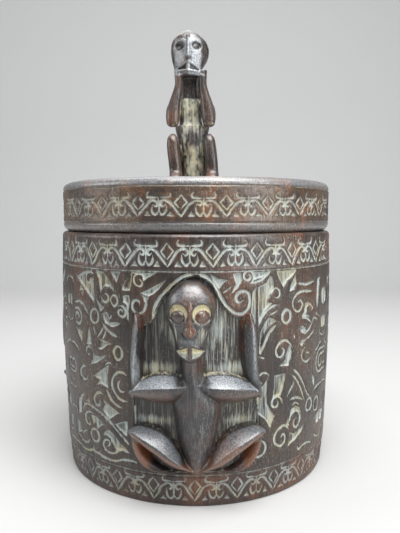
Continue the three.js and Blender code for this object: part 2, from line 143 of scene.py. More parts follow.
# %% Cove
COVE_HALF_WIDTH = 2.4
COVE_FRONT = -1.6
COVE_BEND = 0.9                  # behind the object, where the floor starts to rise
COVE_BEND_RADIUS = 0.7
COVE_LENGTH = 5


def new_object(name, bm):
    """Puts a bmesh into the scene as a mesh object with the given name, and frees it."""
    mesh = bpy.data.meshes.new(name)
    bm.to_mesh(mesh)
    bm.free()
    piece = bpy.data.objects.new(name, mesh)
    bpy.context.scene.collection.objects.link(piece)
    return piece


cove_mesh = bmesh.new()
bmesh.ops.create_grid(cove_mesh, x_segments=2, y_segments=120, size=0.5)
for vert in cove_mesh.verts:
    along = COVE_FRONT + (vert.co.y + 0.5) * COVE_LENGTH
    bend = min(max(along - COVE_BEND, 0) / COVE_BEND_RADIUS, math.pi / 2)
    climb = max(along - COVE_BEND - COVE_BEND_RADIUS * math.pi / 2, 0)
    vert.co.x *= 2 * COVE_HALF_WIDTH
    vert.co.y = min(along, COVE_BEND) + COVE_BEND_RADIUS * math.sin(bend)
    vert.co.z = COVE_BEND_RADIUS * (1 - math.cos(bend)) + climb
for face in cove_mesh.faces:
    face.smooth = True
cove = new_object("cove", cove_mesh)

# %% [markdown]
# Light and wood are both made of linked nodes. A few short names keep those recipes readable: a
# node is made, fed and asked for one output in one call, and the output can then be added to and
# multiplied like a plain number. A plain number goes straight into its socket.

# %% Short names for nodes
class Output:
    """An output of a node, which can be reckoned with like a number."""

    def __init__(self, recipe, socket):
        self.recipe = recipe
        self.socket = socket

    def __add__(self, other):
        return self.recipe.reckon("ADD", self, other)

    def __mul__(self, other):
        return self.recipe.reckon("MULTIPLY", self, other)

    def larger(self, other):
        """The larger of two values at each place."""
        return self.recipe.reckon("MAXIMUM", self, other)

    def span(self, low, high, to_low=0.0, to_high=1.0):
        """Stretches the values from low to high to another span, and holds the rest at its ends."""
        limits = {"From Min": low, "From Max": high, "To Min": to_low, "To Max": to_high}
        return self.recipe.node("MapRange", "Result", {"Value": self, **limits})


def colour(red, green, blue):
    """A colour written as it is seen, 0 to 255, turned to the linear values that light uses."""
    seen = np.array((red, green, blue)) / 255
    linear = np.where(seen <= 0.04045, seen / 12.92, ((seen + 0.055) / 1.055) ** 2.4)
    return (*linear.tolist(), 1.0)


class Recipe:
    """The nodes of a material or of the sky."""

    def __init__(self, owner, main):
        owner.use_nodes = True
        self.nodes = owner.node_tree.nodes
        self.links = owner.node_tree.links
        self.main = self.nodes[main]

    def feed(self, socket, value):
        """Links an output to a socket, or writes a plain value there."""
        if isinstance(value, Output):
            self.links.new(value.socket, socket)
        else:
            socket.default_value = value

    def give(self, inputs):
        """Feeds the main node."""
        for name, value in inputs.items():
            self.feed(self.main.inputs[name], value)

    def node(self, kind, output, inputs=(), **settings):
        """Makes a node, sets and feeds it, and hands back one output."""
        made = self.nodes.new("ShaderNode" + kind)
        for name, value in settings.items():
            setattr(made, name, value)
        for name, value in dict(inputs).items():
            self.feed(made.inputs[name], value)
        return Output(self, made.outputs[output])

    def reckon(self, operation, a, b):
        return self.node("Math", "Value", {0: a, 1: b}, operation=operation)

    def stored(self, name):
        """The number that is stored for each point under a name."""
        return self.node("Attribute", "Fac", attribute_name=name)

    def noise(self, scale, stretch=(1, 1, 1), detail=3.0, roughness=0.55):
        """Cloudy values from 0 to 1, with scale clouds in a metre."""
        place = self.node("TexCoord", "Object")
        place = self.node("Mapping", "Vector", {"Vector": place, "Scale": stretch})
        inputs = {"Vector": place, "Scale": scale, "Detail": detail, "Roughness": roughness}
        return self.node("TexNoise", "Fac", inputs)

    def mix(self, share, a, b):
        """Blends two colours. The sockets for colours have no name of their own, only a number."""
        a, b = (colour(*value) if isinstance(value, tuple) else value for value in (a, b))
        return self.node("Mix", 2, {0: share, 6: a, 7: b}, data_type="RGBA")


# %% [markdown]
# The light is that of an open shade: one broad lamp overhead and in front, which puts the long
# soft highlight on the rim of the lid and on the upper side of every limb, three weak ones
# behind and at both sides, and an even sky. A colour then renders about as it is written.

# %% Lamps and sky
AIM = Vector((0, 0, 0.14))
LAMPS = [                        # name, place, size, watts
    ("overhead", (0.2, -0.45, 1.2), 1.0, 29),
    ("top_back", (-0.15, 0.42, 1.05), 0.8, 4),
    ("right_side", (0.85, -0.75, 0.35), 0.5, 5),
    ("left_side", (-1.0, -0.15, 0.5), 0.5, 3),
]
for name, place, size, watts in LAMPS:
    lamp = bpy.data.lights.new(name, "AREA")
    lamp.size = size
    lamp.energy = watts
    holder = bpy.data.objects.new(name, lamp)
    holder.location = place
    holder.rotation_euler = (AIM - Vector(place)).to_track_quat("-Z", "Y").to_euler()
    bpy.context.scene.collection.objects.link(holder)

SKY_LIGHT = 0.17
SKY_SEEN = 0.93                  # what the camera sees of it
sky = bpy.data.worlds.new("sky")
sky_recipe = Recipe(sky, "Background")
seen = sky_recipe.node("LightPath", "Is Camera Ray")
strength = sky_recipe.node("Mix", "Result", {"Factor": seen, "A": SKY_LIGHT, "B": SKY_SEEN})
sky_recipe.give({"Color": (0.94, 0.97, 1, 1), "Strength": strength})
bpy.context.scene.world = sky
bpy.context.scene.view_settings.view_transform = "Standard"

# %% [markdown]
# Wood is never even. Noise on a lattice of random values, blended smoothly between the lattice
# points, moves and tints the surfaces below. It is worked out here rather than in a material,
# because the carving moves real points with it. The seed makes every run the same.

# %% Noise for moving points
NOISE_VALUES = np.random.default_rng(7).uniform(-1, 1, 4099)
NOISE_HASH = np.array((73856093, 19349663, 83492791))


def noise(points, cell):
    """A value from -1 to 1 for each point. cell is the size of the grain on each axis."""
    scaled = np.asarray(points, float) / np.asarray(cell, float)
    base = np.floor(scaled).astype(np.int64)
    part = smooth_step(scaled - base)
    total = np.zeros(len(scaled))
    for corner in np.ndindex(2, 2, 2):
        key = ((base + corner) * NOISE_HASH).sum(axis=1) % len(NOISE_VALUES)
        weight = np.prod(np.where(corner, part, 1 - part), axis=1)
        total += NOISE_VALUES[key] * weight
    return total


def smooth_step(value):
    """0 below 0, 1 above 1, with an easy slope between."""
    value = np.clip(value, 0, 1)
    return value * value * (3 - 2 * value)


def ramp(value, start, reach):
    """A smooth step from 0 at start to 1 at start + reach. It falls where reach is negative."""
    return smooth_step((value - start) / reach)


def bell(value, width):
    """1 where the value is 0, and falling off to both sides."""
    return np.exp(-(value / width) ** 2)


# %% [markdown]
# The scrollwork is drawn flat, as a carver chalks it on: across is the arc from the middle of
# the nearest figure and up is the height above the foot. Three kinds of marks make all of it.
# A ground is an area cut down, with sides that bow in or out. A line is a knife cut of some
# width. An island is wood that is left standing inside a ground.

# %% Marks of the carver
def through(points, steps=6):
    """A smooth path through given points, or smooth rows between rows of numbers."""
    knots = np.array([points[0], *points, points[-1]], float)
    t = np.linspace(0, 1, steps, endpoint=False)[:, None]
    parts = []
    for a, b, c, d in zip(knots, knots[1:], knots[2:], knots[3:]):
        bend = (2 * a - 5 * b + 4 * c - d) * t ** 2 + (3 * b - a - 3 * c + d) * t ** 3
        parts.append((2 * b + (c - a) * t + bend) / 2)
    return np.vstack([*parts, knots[-1:]])


def curl(across, up, outer, inner, start, turns):
    """A spiral cut, from its outer to its inner radius. Positive turns run anticlockwise."""
    t = np.linspace(0, 1, 36)
    angle = math.radians(start) + t * turns * 2 * math.pi
    radius = outer + (inner - outer) * t
    return np.column_stack([across + radius * np.cos(angle), up + radius * np.sin(angle)])


def ring(across, up, half_width, half_height):
    """A closed round cut."""
    angle = np.linspace(0, 2 * math.pi, 29)
    return np.column_stack([across + half_width * np.cos(angle), up + half_height * np.sin(angle)])


def outline(corners, steps=6):
    """A closed path through corners (across, up) or (across, up, bow). A side bows out by bow."""
    corners = np.array([corner if len(corner) == 3 else (*corner, 0) for corner in corners], float)
    middle = corners[:, :2].mean(axis=0)
    t = np.linspace(0, 1, steps, endpoint=False)[:, None]
    parts = []
    for corner, following in zip(corners, np.roll(corners, -1, axis=0)):
        start, end = corner[:2], following[:2]
        along = end - start
        out = np.array([along[1], -along[0]]) / max(np.hypot(*along), 1e-6)
        out *= 1 if out @ ((start + end) / 2 - middle) >= 0 else -1
        parts.append(start + along * t + out * corner[2] * 4 * t * (1 - t))
    return np.vstack([*parts, corners[:1, :2]])


# %% [markdown]
# Whether a point of the skin is cut, and how deep, follows from its distance to each path and
# from whether it lies inside it. Both are plain geometry, worked out for all points at once, and
# only for the points near a path, because half a field has some 60,000 of them.

# %% Depth of the cuts
GROUND_DEPTH = 1.35
GROUND_SLOPE = 0.9               # width of the sloping edge of a ground
FIGURE_GROUND_DEPTH = 2.3        # of the one ground round a figure
FIGURE_GROUND_SLOPE = FIGURE_GROUND_DEPTH / 2.1
LINE_DEPTH = 1.05
LINE_WIDTH = 2.1
TAPER_END = 0.35                 # width of a cut at its very end, as a share
TAPER_REACH = 3.5
WAVER = 0.16                     # how much the width of a cut wavers, as a share
WAVER_CELL = (5, 5, 4)
EDGE_ROUNDING = 0.3              # how far worn edges are rounded down
EDGE_REACH = 1.3
FAR = 9.0


def path_place(points, path):
    """Distance from each point to a path, and how far along the path the nearest place is."""
    nearest = np.full(len(points), FAR)
    place = np.zeros(len(points))
    passed = 0.0
    for start, end in zip(path, path[1:]):
        along = end - start
        length = math.hypot(*along)
        t = np.clip((points - start) @ along / max(length * length, 1e-9), 0, 1)
        away = np.hypot(*(points - start - t[:, None] * along).T)
        place = np.where(away < nearest, passed + t * length, place)
        nearest = np.minimum(nearest, away)
        passed += length
    return nearest, place, passed


def lies_inside(points, loop):
    """True for each point in a closed path: a line to its right crosses it an odd number of times."""
    within = np.zeros(len(points), bool)
    for (x0, y0), (x1, y1) in zip(loop, loop[1:]):
        if y0 != y1:
            spans = (y0 > points[:, 1]) != (y1 > points[:, 1])
            within ^= spans & (points[:, 0] < (x1 - x0) * (points[:, 1] - y0) / (y1 - y0) + x0)
    return within


def near(points, path, margin):
    """The numbers of the points in the box round a path."""
    low, high = path.min(axis=0) - margin, path.max(axis=0) + margin
    return np.nonzero(((points > low) & (points < high)).all(axis=1))[0]


def smoothed(path):
    """Points given in a list get smoothed. Curls, rings and straight cuts are arrays."""
    return through(path) if isinstance(path, list) else path


def carve(points, grounds=(), islands=(), lines=(), deep=None):
    """Depth and pale residue at each flat point. An island is (path, half width), a line is a path
    or (width, path), and deep is one ground that is cut down to the figures' depth."""
    depth = np.zeros(len(points))
    pale = np.zeros(len(points))
    edge = np.full(len(points), FAR)
    for corners in [*grounds, deep] if deep else grounds:
        floor_depth, slope = GROUND_DEPTH, GROUND_SLOPE
        if corners is deep:
            floor_depth, slope = FIGURE_GROUND_DEPTH, FIGURE_GROUND_SLOPE
        loop = outline(corners)
        some = near(points, loop, EDGE_REACH * 2)
        away = path_place(points[some], loop)[0]
        within = lies_inside(points[some], loop)
        cut = floor_depth * smooth_step(np.where(within, away, 0) / slope)
        lying = np.where(within, 0.6 * smooth_step(away / 0.6) + 0.4 * bell(away - 0.8, 0.7), 0)
        depth[some] = np.maximum(depth[some], cut)
        pale[some] = np.maximum(pale[some], lying)
        edge[some] = np.minimum(edge[some], np.where(within, 0, away))
    for path, half_width in islands:
        path = smoothed(path)
        some = near(points, path, half_width + GROUND_SLOPE)
        keep = ramp(path_place(points[some], path)[0], half_width, GROUND_SLOPE)
        depth[some] *= keep
        pale[some] *= keep
    for line in lines:
        width, path = line if isinstance(line[0], (int, float)) else (LINE_WIDTH, line)
        path = smoothed(path)
        some = near(points, path, width / 2 + EDGE_REACH * 2)
        away, place, length = path_place(points[some], path)
        closed = math.dist(path[0], path[-1]) < 0.1
        to_end = np.full(len(some), FAR) if closed else np.minimum(place, length - place)
        taper = TAPER_END + (1 - TAPER_END) * smooth_step(to_end / min(TAPER_REACH, length / 2))
        waver = WAVER * noise(np.column_stack([points[some], place]), WAVER_CELL)
        cut_width = width * taper * (1 + waver)
        share = np.clip(1 - (2 * away / cut_width) ** 2, 0, 1)
        depth[some] = np.maximum(depth[some], LINE_DEPTH * cut_width / LINE_WIDTH * share ** 0.75)
        pale[some] = np.maximum(pale[some], smooth_step(1.15 * share) * (0.75 + 0.25 * taper))
        edge[some] = np.minimum(edge[some], np.maximum(away - cut_width / 2, 0))
    worn = EDGE_ROUNDING * np.exp(-edge / EDGE_REACH * 1.6) * (edge < FAR)
    return depth + np.where(depth < 0.05, worn, 0), pale


# %% [markdown]
# The left half of the front field, from the middle of the front figure out to the middle of the
# field: tendrils that part and roll up into curls, with leaf-shaped grounds between them, rings
# where a tendril is stitched to the next, and a halo line round the figure's head.

# %% Scrollwork left of the figure
LEFT_GROUNDS = [
    [(91.5, 140.3, 0.9), (72, 146.2, 0.3), (70, 124, 0)],
    [(69.3, 146.2), (62.3, 145.4, 0.3), (53.6, 136.2), (53.3, 132.6), (57, 135.6), (60.8, 136.1),
        (63.6, 133.2), (64.9, 129.4), (66, 135), (66.4, 140.4)],
    [(57.6, 146.2), (47.6, 146.2, -0.4), (51, 138.4)],
    [(39.6, 146.2, 0.4), (41.4, 134.2, 0.3), (47.8, 134.8, 1)],
    [(69.4, 128.2), (61, 122.4), (66, 118.8, -0.5)],
    [(63.8, 119.3), (59.2, 120.4, -0.7), (57, 114, -0.6), (47.6, 114, 0.2), (54, 110.9, 0.3),
        (61.2, 112.8, 0.4)],
    [(71, 102, 0.9), (55, 100.3, -0.6), (64, 95.4, 0.4), (70.4, 95.9)],
    [(76.6, 110.6, 0.2), (73.8, 97, 0), (80.6, 96.4, -0.2)],
    [(74.2, 95.2), (71.5, 90.8, 0.2), (66, 90.7, 0.2), (56.4, 95.2), (62, 90.5), (69.6, 85.8), (77, 83.4),
        (74, 87.6)],
    [(86.8, 136.6), (81, 131.4), (84.6, 126.6, -0.4), (84.4, 131.4, -0.5), (89.2, 129.4, -0.6)],
    [(95.2, 106.2, 0.2), (84.3, 104.4, 0.2), (85.6, 96.1, -0.4)],
    [(75.8, 76.4, -0.4), (64.5, 83.2), (58.2, 87.4), (60.1, 79), (59.6, 70.7, 0.2), (66, 72.7),
        (71.8, 70.8, -0.3), (67.5, 75.5, -0.2)],
    [(66.8, 65.6, -0.5), (58, 59.4, 0.2), (50.1, 55.9, -0.5), (56, 53, 0.1), (60.7, 50.4, -0.3),
        (66.9, 55.9, -0.6), (63.8, 59.6, -0.2)],
    [(84.8, 57.2, -0.4), (80, 62.4, 0), (78.2, 56.6, -0.2)],
    [(81.8, 49.4, 0.3), (72, 49.8, 0.3), (63.2, 44.9, -0.2), (66.8, 44.5, -0.3), (71.6, 41, -0.4),
        (72.8, 47, -0.3), (75.7, 43.4, -0.4), (78.4, 48)],
    [(56.5, 48.3, 0.4), (44.9, 52.5, 0.2), (45.9, 41.7, 0.5)],
    [(68.3, 38), (66, 40.6, 0.2), (61, 43.9, 0.4), (51.5, 36.6, 0.3), (44.4, 31.4, -1), (55.6, 30, 0),
        (58.4, 34.4), (60.2, 37.4), (64, 38.9)],
    [(80, 25.4), (76.8, 29.1, -0.2), (74.8, 24.9, -0.3)],
    [(72.8, 24.9), (69.9, 28.9), (69.4, 24.4)],
    [(99, 41.4, 0.2), (92.8, 39.8, 0), (91, 33.8, 0.2), (98.2, 31.4, 0.3)],
    [(93.5, 57, 0.6), (88, 59.2, -0.2), (90.5, 47.5, 0), (93.6, 46.4, 0.4)],
    [(41.6, 146.2), (23.4, 146.2), (29, 142.8), (32.4, 140.4), (33.6, 145), (38.6, 144.8)],
    [(35.4, 133.3, 0), (25.5, 138.2, 0), (15.2, 143.8, -0.3), (22.2, 136.2), (26.2, 132.8),
        (29.4, 131.2, -0.2)],
    [(35.9, 133), (28.3, 131.4), (31.3, 126.1), (32.6, 130.6)],
    [(47.4, 131.3), (42.2, 132.4), (41.2, 128), (42.5, 122), (41.9, 113.2), (44.4, 117.4), (44.2, 125.6),
        (46.8, 127.2), (46.4, 129)],
    [(103.4, 128.2, 0), (99, 127, 0.3), (99.4, 119.6, 0), (103.4, 121)],
]
LEFT_ISLANDS = [
    ([(71.3, 142.6), (74.8, 143.2), (78, 141.4), (77.6, 139)], 1.7),
    ([(44.9, 137.4), (43.2, 140.4), (41.8, 143.4)], 0.5),
    ([(71.6, 98.2), (69.2, 99)], 2.4),
]
LEFT_LINES = [
    [(71, 143.4), (74.4, 144.3), (78, 143.4), (79.9, 140.4), (78.4, 137.6), (75.6, 137.4), (75.4, 139.8)],
    [(64.6, 130), (63.4, 127.5), (61, 126.3), (58.6, 127.3), (58.1, 129.5), (59.4, 131.3), (60.8, 131.6)],
    (1.7, ring(53.5, 127.8, 2.7, 3.3)),
    curl(48, 121, 4.1, 1, 60, 1.3),
    (1.2, [(55, 118.9), (57.5, 115.4)]),
    [(63.4, 113), (61, 110.2), (57, 107.4), (50.8, 105.1)],
    (1.3, [(62, 111), (65.5, 106), (68.8, 102.3)]),
    (1.3, [(60, 108.6), (62.5, 103.8), (64.3, 101.8)]),
    (2.2, ring(71, 116.4, 3.8, 4.4)),
    (1.3, [(71.9, 109.4), (70.1, 104.8)]),
    ring(51.2, 95, 3.1, 4.2),
    [(94, 122.7), (88.5, 124), (83, 122.3), (79, 118.6), (76.6, 116.5)],
    (2.2, curl(90.8, 113.2, 6.3, 1.8, 60, 1.4)),
    [(81, 90.6), (80.7, 93.2), (79.2, 95.2), (76.8, 95.7), (74.4, 94.2)],
    (1.4, [(80.3, 90.9), (78, 90.1), (75.8, 91.2)]),
    curl(101, 79, 6.3, 1.4, 30, -1.6),
    (2.1, [(81.3, 81.3), (85.2, 81.1), (88.4, 78.4), (88.5, 74.8), (85.6, 72.4), (82, 72.8),
        (79.8, 75.5)]),
    (1.5, [(61.6, 86), (58.8, 87.9), (56, 87.5)]),
    [(61, 70.2), (59.8, 66.8), (57, 63.2), (53.8, 61.2), (49.2, 60)],
    [(45.2, 81.6), (48, 83), (52, 82.6), (55.3, 79.3), (56.6, 74.5), (55.4, 70), (52.4, 66.8), (48.5, 65),
        (44.6, 65)],
    (1.7, [(49.6, 78.2), (51.6, 75.3), (51.2, 72.2), (49.2, 70.7), (46, 71.2)]),
    [(64.6, 66), (68, 66.8), (71.6, 65.2), (73.8, 61.7), (72.8, 58.7), (70.6, 57.6), (68.6, 58.8),
        (68, 61.8)],
    (2.3, [(85.5, 61.6), (90, 59.3), (93, 55.5), (94.4, 50.5), (94.2, 45.8)]),
    [(88.3, 51), (86, 54.6), (81, 56), (76, 55.3), (70.5, 54), (65.5, 52.1), (60, 49.3), (55, 45.2),
        (50, 41.1), (44.3, 36.6)],
    [(76.3, 50.9), (80.5, 50.9), (84, 49.3), (85.4, 46), (84, 42.9), (81.8, 42), (79.8, 43), (79.5, 45)],
    (2.1, ring(75, 36.3, 4.5, 4.2)),
    (1.6, [(84, 36.9), (87.5, 35.9), (89.9, 33.2)]),
    (2.3, [(98.2, 31.2), (93, 28.6), (88, 27.7), (84, 29.2), (81.2, 31.9)]),
    [(63, 31.8), (61, 33.2), (61.2, 35.4), (63.5, 36.1), (66, 34.6), (66.8, 32), (65, 29.4), (61, 28),
        (57, 28.7), (53.5, 31), (50, 32.3), (44.4, 31.2)],
    [(103.4, 24.2), (97, 24), (90, 22.8), (84, 23.3), (79, 25), (75, 24.6), (72, 24.5), (66, 23.5),
        (60, 23.2), (55, 24), (50, 25.8), (44, 26.3), (39.5, 26)],
    [(103.4, 94.3), (98, 94.5), (93, 92.5), (90.3, 90.6)],
    (1.5, [(103.4, 63.4), (100, 63.3), (96.6, 64.2)]),
    (1.5, [(103.4, 68), (99.6, 68.8)]),
    (1.6, [(103.4, 139.6), (98.4, 138.4), (95.6, 134.6)]),
    (1.5, [(103.4, 109.6), (99.6, 110.8), (97.8, 114)]),
    (1.5, [(103.4, 49), (99.4, 48.2), (97.6, 45)]),
    (2.6, [(0, 145.6), (6, 144.8), (11, 142.2), (17, 137), (22, 131.3), (25.5, 125), (26.8, 118)]),
    (1.6, [(31.5, 141.5), (32.4, 144), (35, 145.3), (38, 144), (38.8, 140.8), (36.8, 138), (34, 137.9),
        (33.2, 140), (34.8, 141.8)]),
    [(31.3, 131), (30.7, 127), (32.5, 122.8), (36, 121.2), (39.4, 123.2), (40, 126.8), (37.8, 129),
        (35.4, 128.2), (35, 126)],
]
print("left half:", len(LEFT_GROUNDS), "grounds,", len(LEFT_LINES), "lines")

# %% Scrollwork right of the figure
RIGHT_GROUNDS = [
    [(35.5, 141, 0), (41.6, 142.2, 0.2), (46.8, 146.2), (35.5, 146.2)],
    [(38.2, 137), (43.6, 139.2), (47.8, 144.8), (50, 137, 0.2), (46.9, 131.5, -0.3), (48.4, 126.2),
        (44, 122.2, 0.2), (38.4, 112.8), (38, 125)],
    [(51, 146.2, 0.4), (57.3, 134.8), (60.4, 138.8, 0.2), (67, 143.4), (69, 146.2)],
    [(67.6, 143.2), (69.8, 137.2), (66.3, 133.3), (61.6, 131.6), (63.2, 136.4)],
    [(93, 137.4, 0), (98.4, 140, 0.4), (97.2, 127), (94.8, 115.4), (91.8, 126)],
    [(77.6, 124), (85.6, 121.8, 0.3), (80.6, 120.6, 0.2), (79.6, 116.6), (85.2, 113.2, -0.3),
        (72.9, 114.7), (76.6, 118)],
    [(73.2, 109, 0.2), (76.4, 109.2, 0.2), (80.8, 105.1, 0.3), (75.2, 104.8, 0.4)],
    [(54.4, 114.4, 0.3), (45.8, 118, 0.5), (39.8, 109, 0.2), (39.1, 95.6), (40.6, 94.4), (47.4, 107.4)],
    [(53.4, 85.2, -0.2), (59.3, 89.4, 0.2), (61.2, 95.5), (63.3, 99.8), (65.4, 94), (63.8, 88),
        (62.8, 84.6)],
    [(72, 97.6, 0.3), (74.8, 100, 0.2), (80.4, 99.4), (75.4, 95.2)],
    [(46.9, 82), (46, 75), (45.6, 69), (46.6, 63), (49.3, 57.7), (52.6, 54.3), (50.4, 51), (49.1, 46),
        (44.5, 52.7, 0.2), (36, 60.4), (38.5, 66), (38, 71.3), (43.8, 76.8)],
    [(50.6, 80.6), (60.7, 80.8, 0.2), (59.4, 74, 0.2), (56.9, 66.3, -0.4), (49.6, 65.2), (50.6, 72)],
    [(68.8, 75.4), (68, 70.4), (61.2, 62.8, 0.3), (63.6, 68.8)],
    [(64, 60.9), (66.5, 63.4), (71, 63.7), (75.6, 61.9), (81.6, 56.7), (76, 59.6), (70, 61.2)],
    [(64.8, 50.4), (65.8, 55.2), (70.3, 57.5), (75.9, 54.8), (77.8, 49.6), (75.4, 51.2), (71, 54),
        (67, 52.6)],
    [(61.3, 46.2, -0.2), (64.8, 53.4, -0.2), (66.2, 43.2)],
    [(64.4, 30.2, -0.3), (72, 33), (78, 36.8), (83.2, 42.2), (76.5, 40), (70.5, 38.4), (65.8, 40.6, -0.3)],
    [(88.8, 75), (93.8, 70.4), (93.2, 64), (90, 68.4)],
    [(33.4, 121), (34.3, 134), (37.5, 138), (37.2, 122), (36.9, 111.5)],
    [(7.6, 146.2), (13, 142.9), (21.1, 141.8), (17, 140.3), (13.6, 136), (9.8, 141.2)],
    [(13.8, 132.6), (18, 136.8), (22.8, 139.1), (19.4, 135.2)],
    [(21.6, 145.8), (27.6, 146.2), (28.4, 141.2), (25, 136.2), (19.4, 131.4), (23.4, 139.2)],
    [(100.4, 128.6, 0.3), (107.4, 131.6), (107.4, 118.4), (102.6, 120.8, 0.3)],
    [(100.2, 110.2, 0), (107.4, 112.4), (107.4, 103.4), (103, 103.2, -0.2)],
    [(96, 41.6, 0.2), (107.4, 44.4), (107.4, 36.8), (101.6, 34.6, -0.4)],
]
RIGHT_ISLANDS = [
    ([(52.2, 114.2), (45.6, 110), (41.2, 101)], 0.45),
    ([(47.3, 128.3), (50.4, 127.6)], 1.2),
]
RIGHT_LINES = [
    (1.6, [(50, 129.9), (52.2, 129.2), (54.1, 131), (53.6, 133.9), (51.4, 135.4), (48.8, 134.3),
        (47.4, 131.4)]),
    [(69.8, 136.9), (75, 136.3), (79, 135.7), (88.6, 136.6)],
    (2.1, [(86.8, 130.4), (80, 131.2), (74, 131.5), (69, 130), (66, 126), (66.5, 121.5), (70, 119),
        (73.5, 120), (75, 123), (73.4, 125.7), (70.2, 125)]),
    (2.6, ring(60.2, 117, 3.5, 4.2)),
    [(78.2, 123.4), (82.5, 122.6), (86, 120.9), (87.1, 118.8), (85.2, 117.7)],
    (1.6, [(73.2, 114.3), (78.5, 113.8), (82.5, 112), (86.7, 109)]),
    (1.8, [(72.5, 107.7), (75.8, 104.8), (79.5, 104.1), (83.6, 106), (87.5, 110)]),
    (1.6, [(86.8, 110.4), (90.5, 112.4), (95.4, 109.6)]),
    (1.6, [(90.2, 115.9), (97.8, 112.4)]),
    (1.7, [(38.4, 112.4), (41.3, 118), (45.2, 122.4), (49.5, 124.6), (53.2, 124.9)]),
    (1.3, [(46.2, 118.9), (52.9, 121.3)]),
    (1.2, [(39.2, 93.7), (43.4, 92.1)]),
    (2.2, [(64.6, 97.3), (62.3, 100.4), (58.6, 101.9), (54.6, 100.5), (52.2, 97), (52.6, 93.3), (55, 91.5),
        (57.6, 92.7), (58.4, 95.5), (56.2, 97.5)]),
    (1.2, [(66.6, 104.8), (67.7, 101.8)]),
    (1.5, [(79, 99.4), (84.5, 100.8), (89.8, 104)]),
    (2, [(85.8, 86.2), (82.5, 84.3), (78.8, 84.9), (76.2, 87.8), (76.3, 91.6), (79, 94.2)]),
    (1.5, [(79.7, 89.6), (82.3, 90.3), (85, 88.5)]),
    (2.3, [(91.8, 87.3), (97, 90.5), (103.8, 94.2)]),
    (1.6, [(46.8, 80.6), (45.2, 82.6), (42.3, 83.2), (40, 81.7), (39.8, 78.8), (41.8, 76.2)]),
    (2, [(57.6, 61), (56.8, 64.6), (54.2, 66.4), (51, 65.7), (49.6, 63), (50.6, 60.5), (52.8, 59.7),
        (54.4, 61.2), (54, 63.4)]),
    (1.6, [(66.3, 82.5), (71, 78.8), (75.3, 74.4), (79.3, 68.6), (83, 63), (87.5, 58.6)]),
    (1.6, [(65.1, 78.8), (69.8, 75.2), (74, 69.6), (77.6, 63.7), (80.9, 57.5)]),
    (1.3, [(66.6, 57.6), (70.5, 58.9), (73.3, 57.4), (74.9, 55.6)]),
    (2.5, [(65.3, 47.2), (66, 50.5), (69, 53.2), (72.7, 53), (75.6, 50.3), (76.4, 46.5), (75, 43),
        (72.4, 41.8), (70.3, 43.6), (70, 46.6), (72, 48.6)]),
    (2.3, [(65.2, 42), (62.6, 45), (59.3, 46), (55.3, 44), (52.6, 39.8), (53.5, 35.6), (57.8, 32.8),
        (61.4, 34.9), (62, 38.4), (60, 40.3), (58, 38.8)]),
    (2, [(40.5, 39.7), (43.2, 39), (45.6, 36.3), (45.8, 33), (43.6, 30), (40.2, 29.1), (37.5, 30.6),
        (37.5, 33), (39.3, 34.2), (40.8, 33.5)]),
    (1.5, [(37, 31.5), (37.2, 28.5), (38.5, 25.4)]),
    (1.8, [(74.2, 28.5), (76.2, 25.6), (80.5, 26.9), (86, 27.2), (92.2, 25.6)]),
    ring(87, 53.6, 3.8, 4.2),
    ring(98.6, 51, 4, 5),
    (2.3, [(92.6, 61.4), (98, 63.5), (107.4, 64)]),
    curl(103.4, 80, 9.4, 2, 60, 1.9),
    (1.8, [(107.4, 97.6), (102, 99.2), (98.8, 103)]),
    (1.8, [(107.4, 25.4), (101.4, 26.6), (96.4, 30.4)]),
    (2.6, [(0, 145.6), (5, 144.4), (9.4, 141), (13, 135.4), (16, 129.4), (19.6, 124.8), (24, 121.7),
        (28.5, 121.5), (31.9, 124.4), (32.9, 129.4), (31.6, 133.5), (28, 134.8), (24.8, 133), (24, 130.2),
        (25.9, 128.2), (28.4, 129.2)]),
    (1.9, curl(31.6, 143.6, 1, 4.3, 100, -1.45)),
    (1.9, [(33, 139.5), (38, 140.2), (42, 141.9), (46.8, 146)]),
]
print("right half:", len(RIGHT_GROUNDS), "grounds,", len(RIGHT_LINES), "lines")

# %% [markdown]
# Round each figure the ground is cut deeper, so that its head and limbs stand clear: inside the
# halo, between the arms, and under the thighs. Dust and old offerings lie pale on the upper
# side of the arms and thighs, which soft round blots stand for.

# %% Deep ground round the figures
FIGURE_FOOT = [(40.6, 58), (40.4, 46), (36, 31), (29, 24.2), (14, 22.6), (0, 22.2), (-6, 22.2), (-6, 144.4)]
LEFT_FIGURE_GROUND = [
    (0, 144.4), (6, 143.5), (10.3, 140.8), (16, 135.8), (20.8, 130.4), (24.2, 124.6), (26.6, 118.4),
    (29.8, 115.6), (36, 113), (38, 98), (39.6, 84), (40.8, 72),
]
RIGHT_FIGURE_GROUND = [
    (0, 144.4), (4.4, 143.2), (8.3, 140.1), (11.8, 134.7), (14.8, 128.8), (18.5, 123.9), (23.4, 120.4),
    (29.6, 119), (32.4, 113), (33.4, 98), (35.6, 84), (38.4, 72),
]
LEFT_SCROLL = (LEFT_GROUNDS, LEFT_ISLANDS, LEFT_LINES, LEFT_FIGURE_GROUND + FIGURE_FOOT)
RIGHT_SCROLL = (RIGHT_GROUNDS, RIGHT_ISLANDS, RIGHT_LINES, RIGHT_FIGURE_GROUND + FIGURE_FOOT)
DUST = [(22, 88, 17, 5), (27, 55, 13, 4), (12, 112, 9, 12)]   # across, up, half width, half height
DUST_LEAST = 0.2
DUST_MOST = 0.82


def scroll_half(across, up, scroll):
    """Carving of one half field, at arcs from the middle of the figure and heights."""
    depth, pale = carve(np.column_stack([across, up]), *scroll)
    dust = 0
    for middle_across, middle_up, half_width, half_height in DUST:
        dust = np.maximum(dust, bell(across - middle_across, half_width) * bell(up - middle_up, half_height))
    in_figure = depth > GROUND_DEPTH * 1.05
    return depth, np.where(in_figure, np.maximum(DUST_LEAST, DUST_MOST * dust), pale)


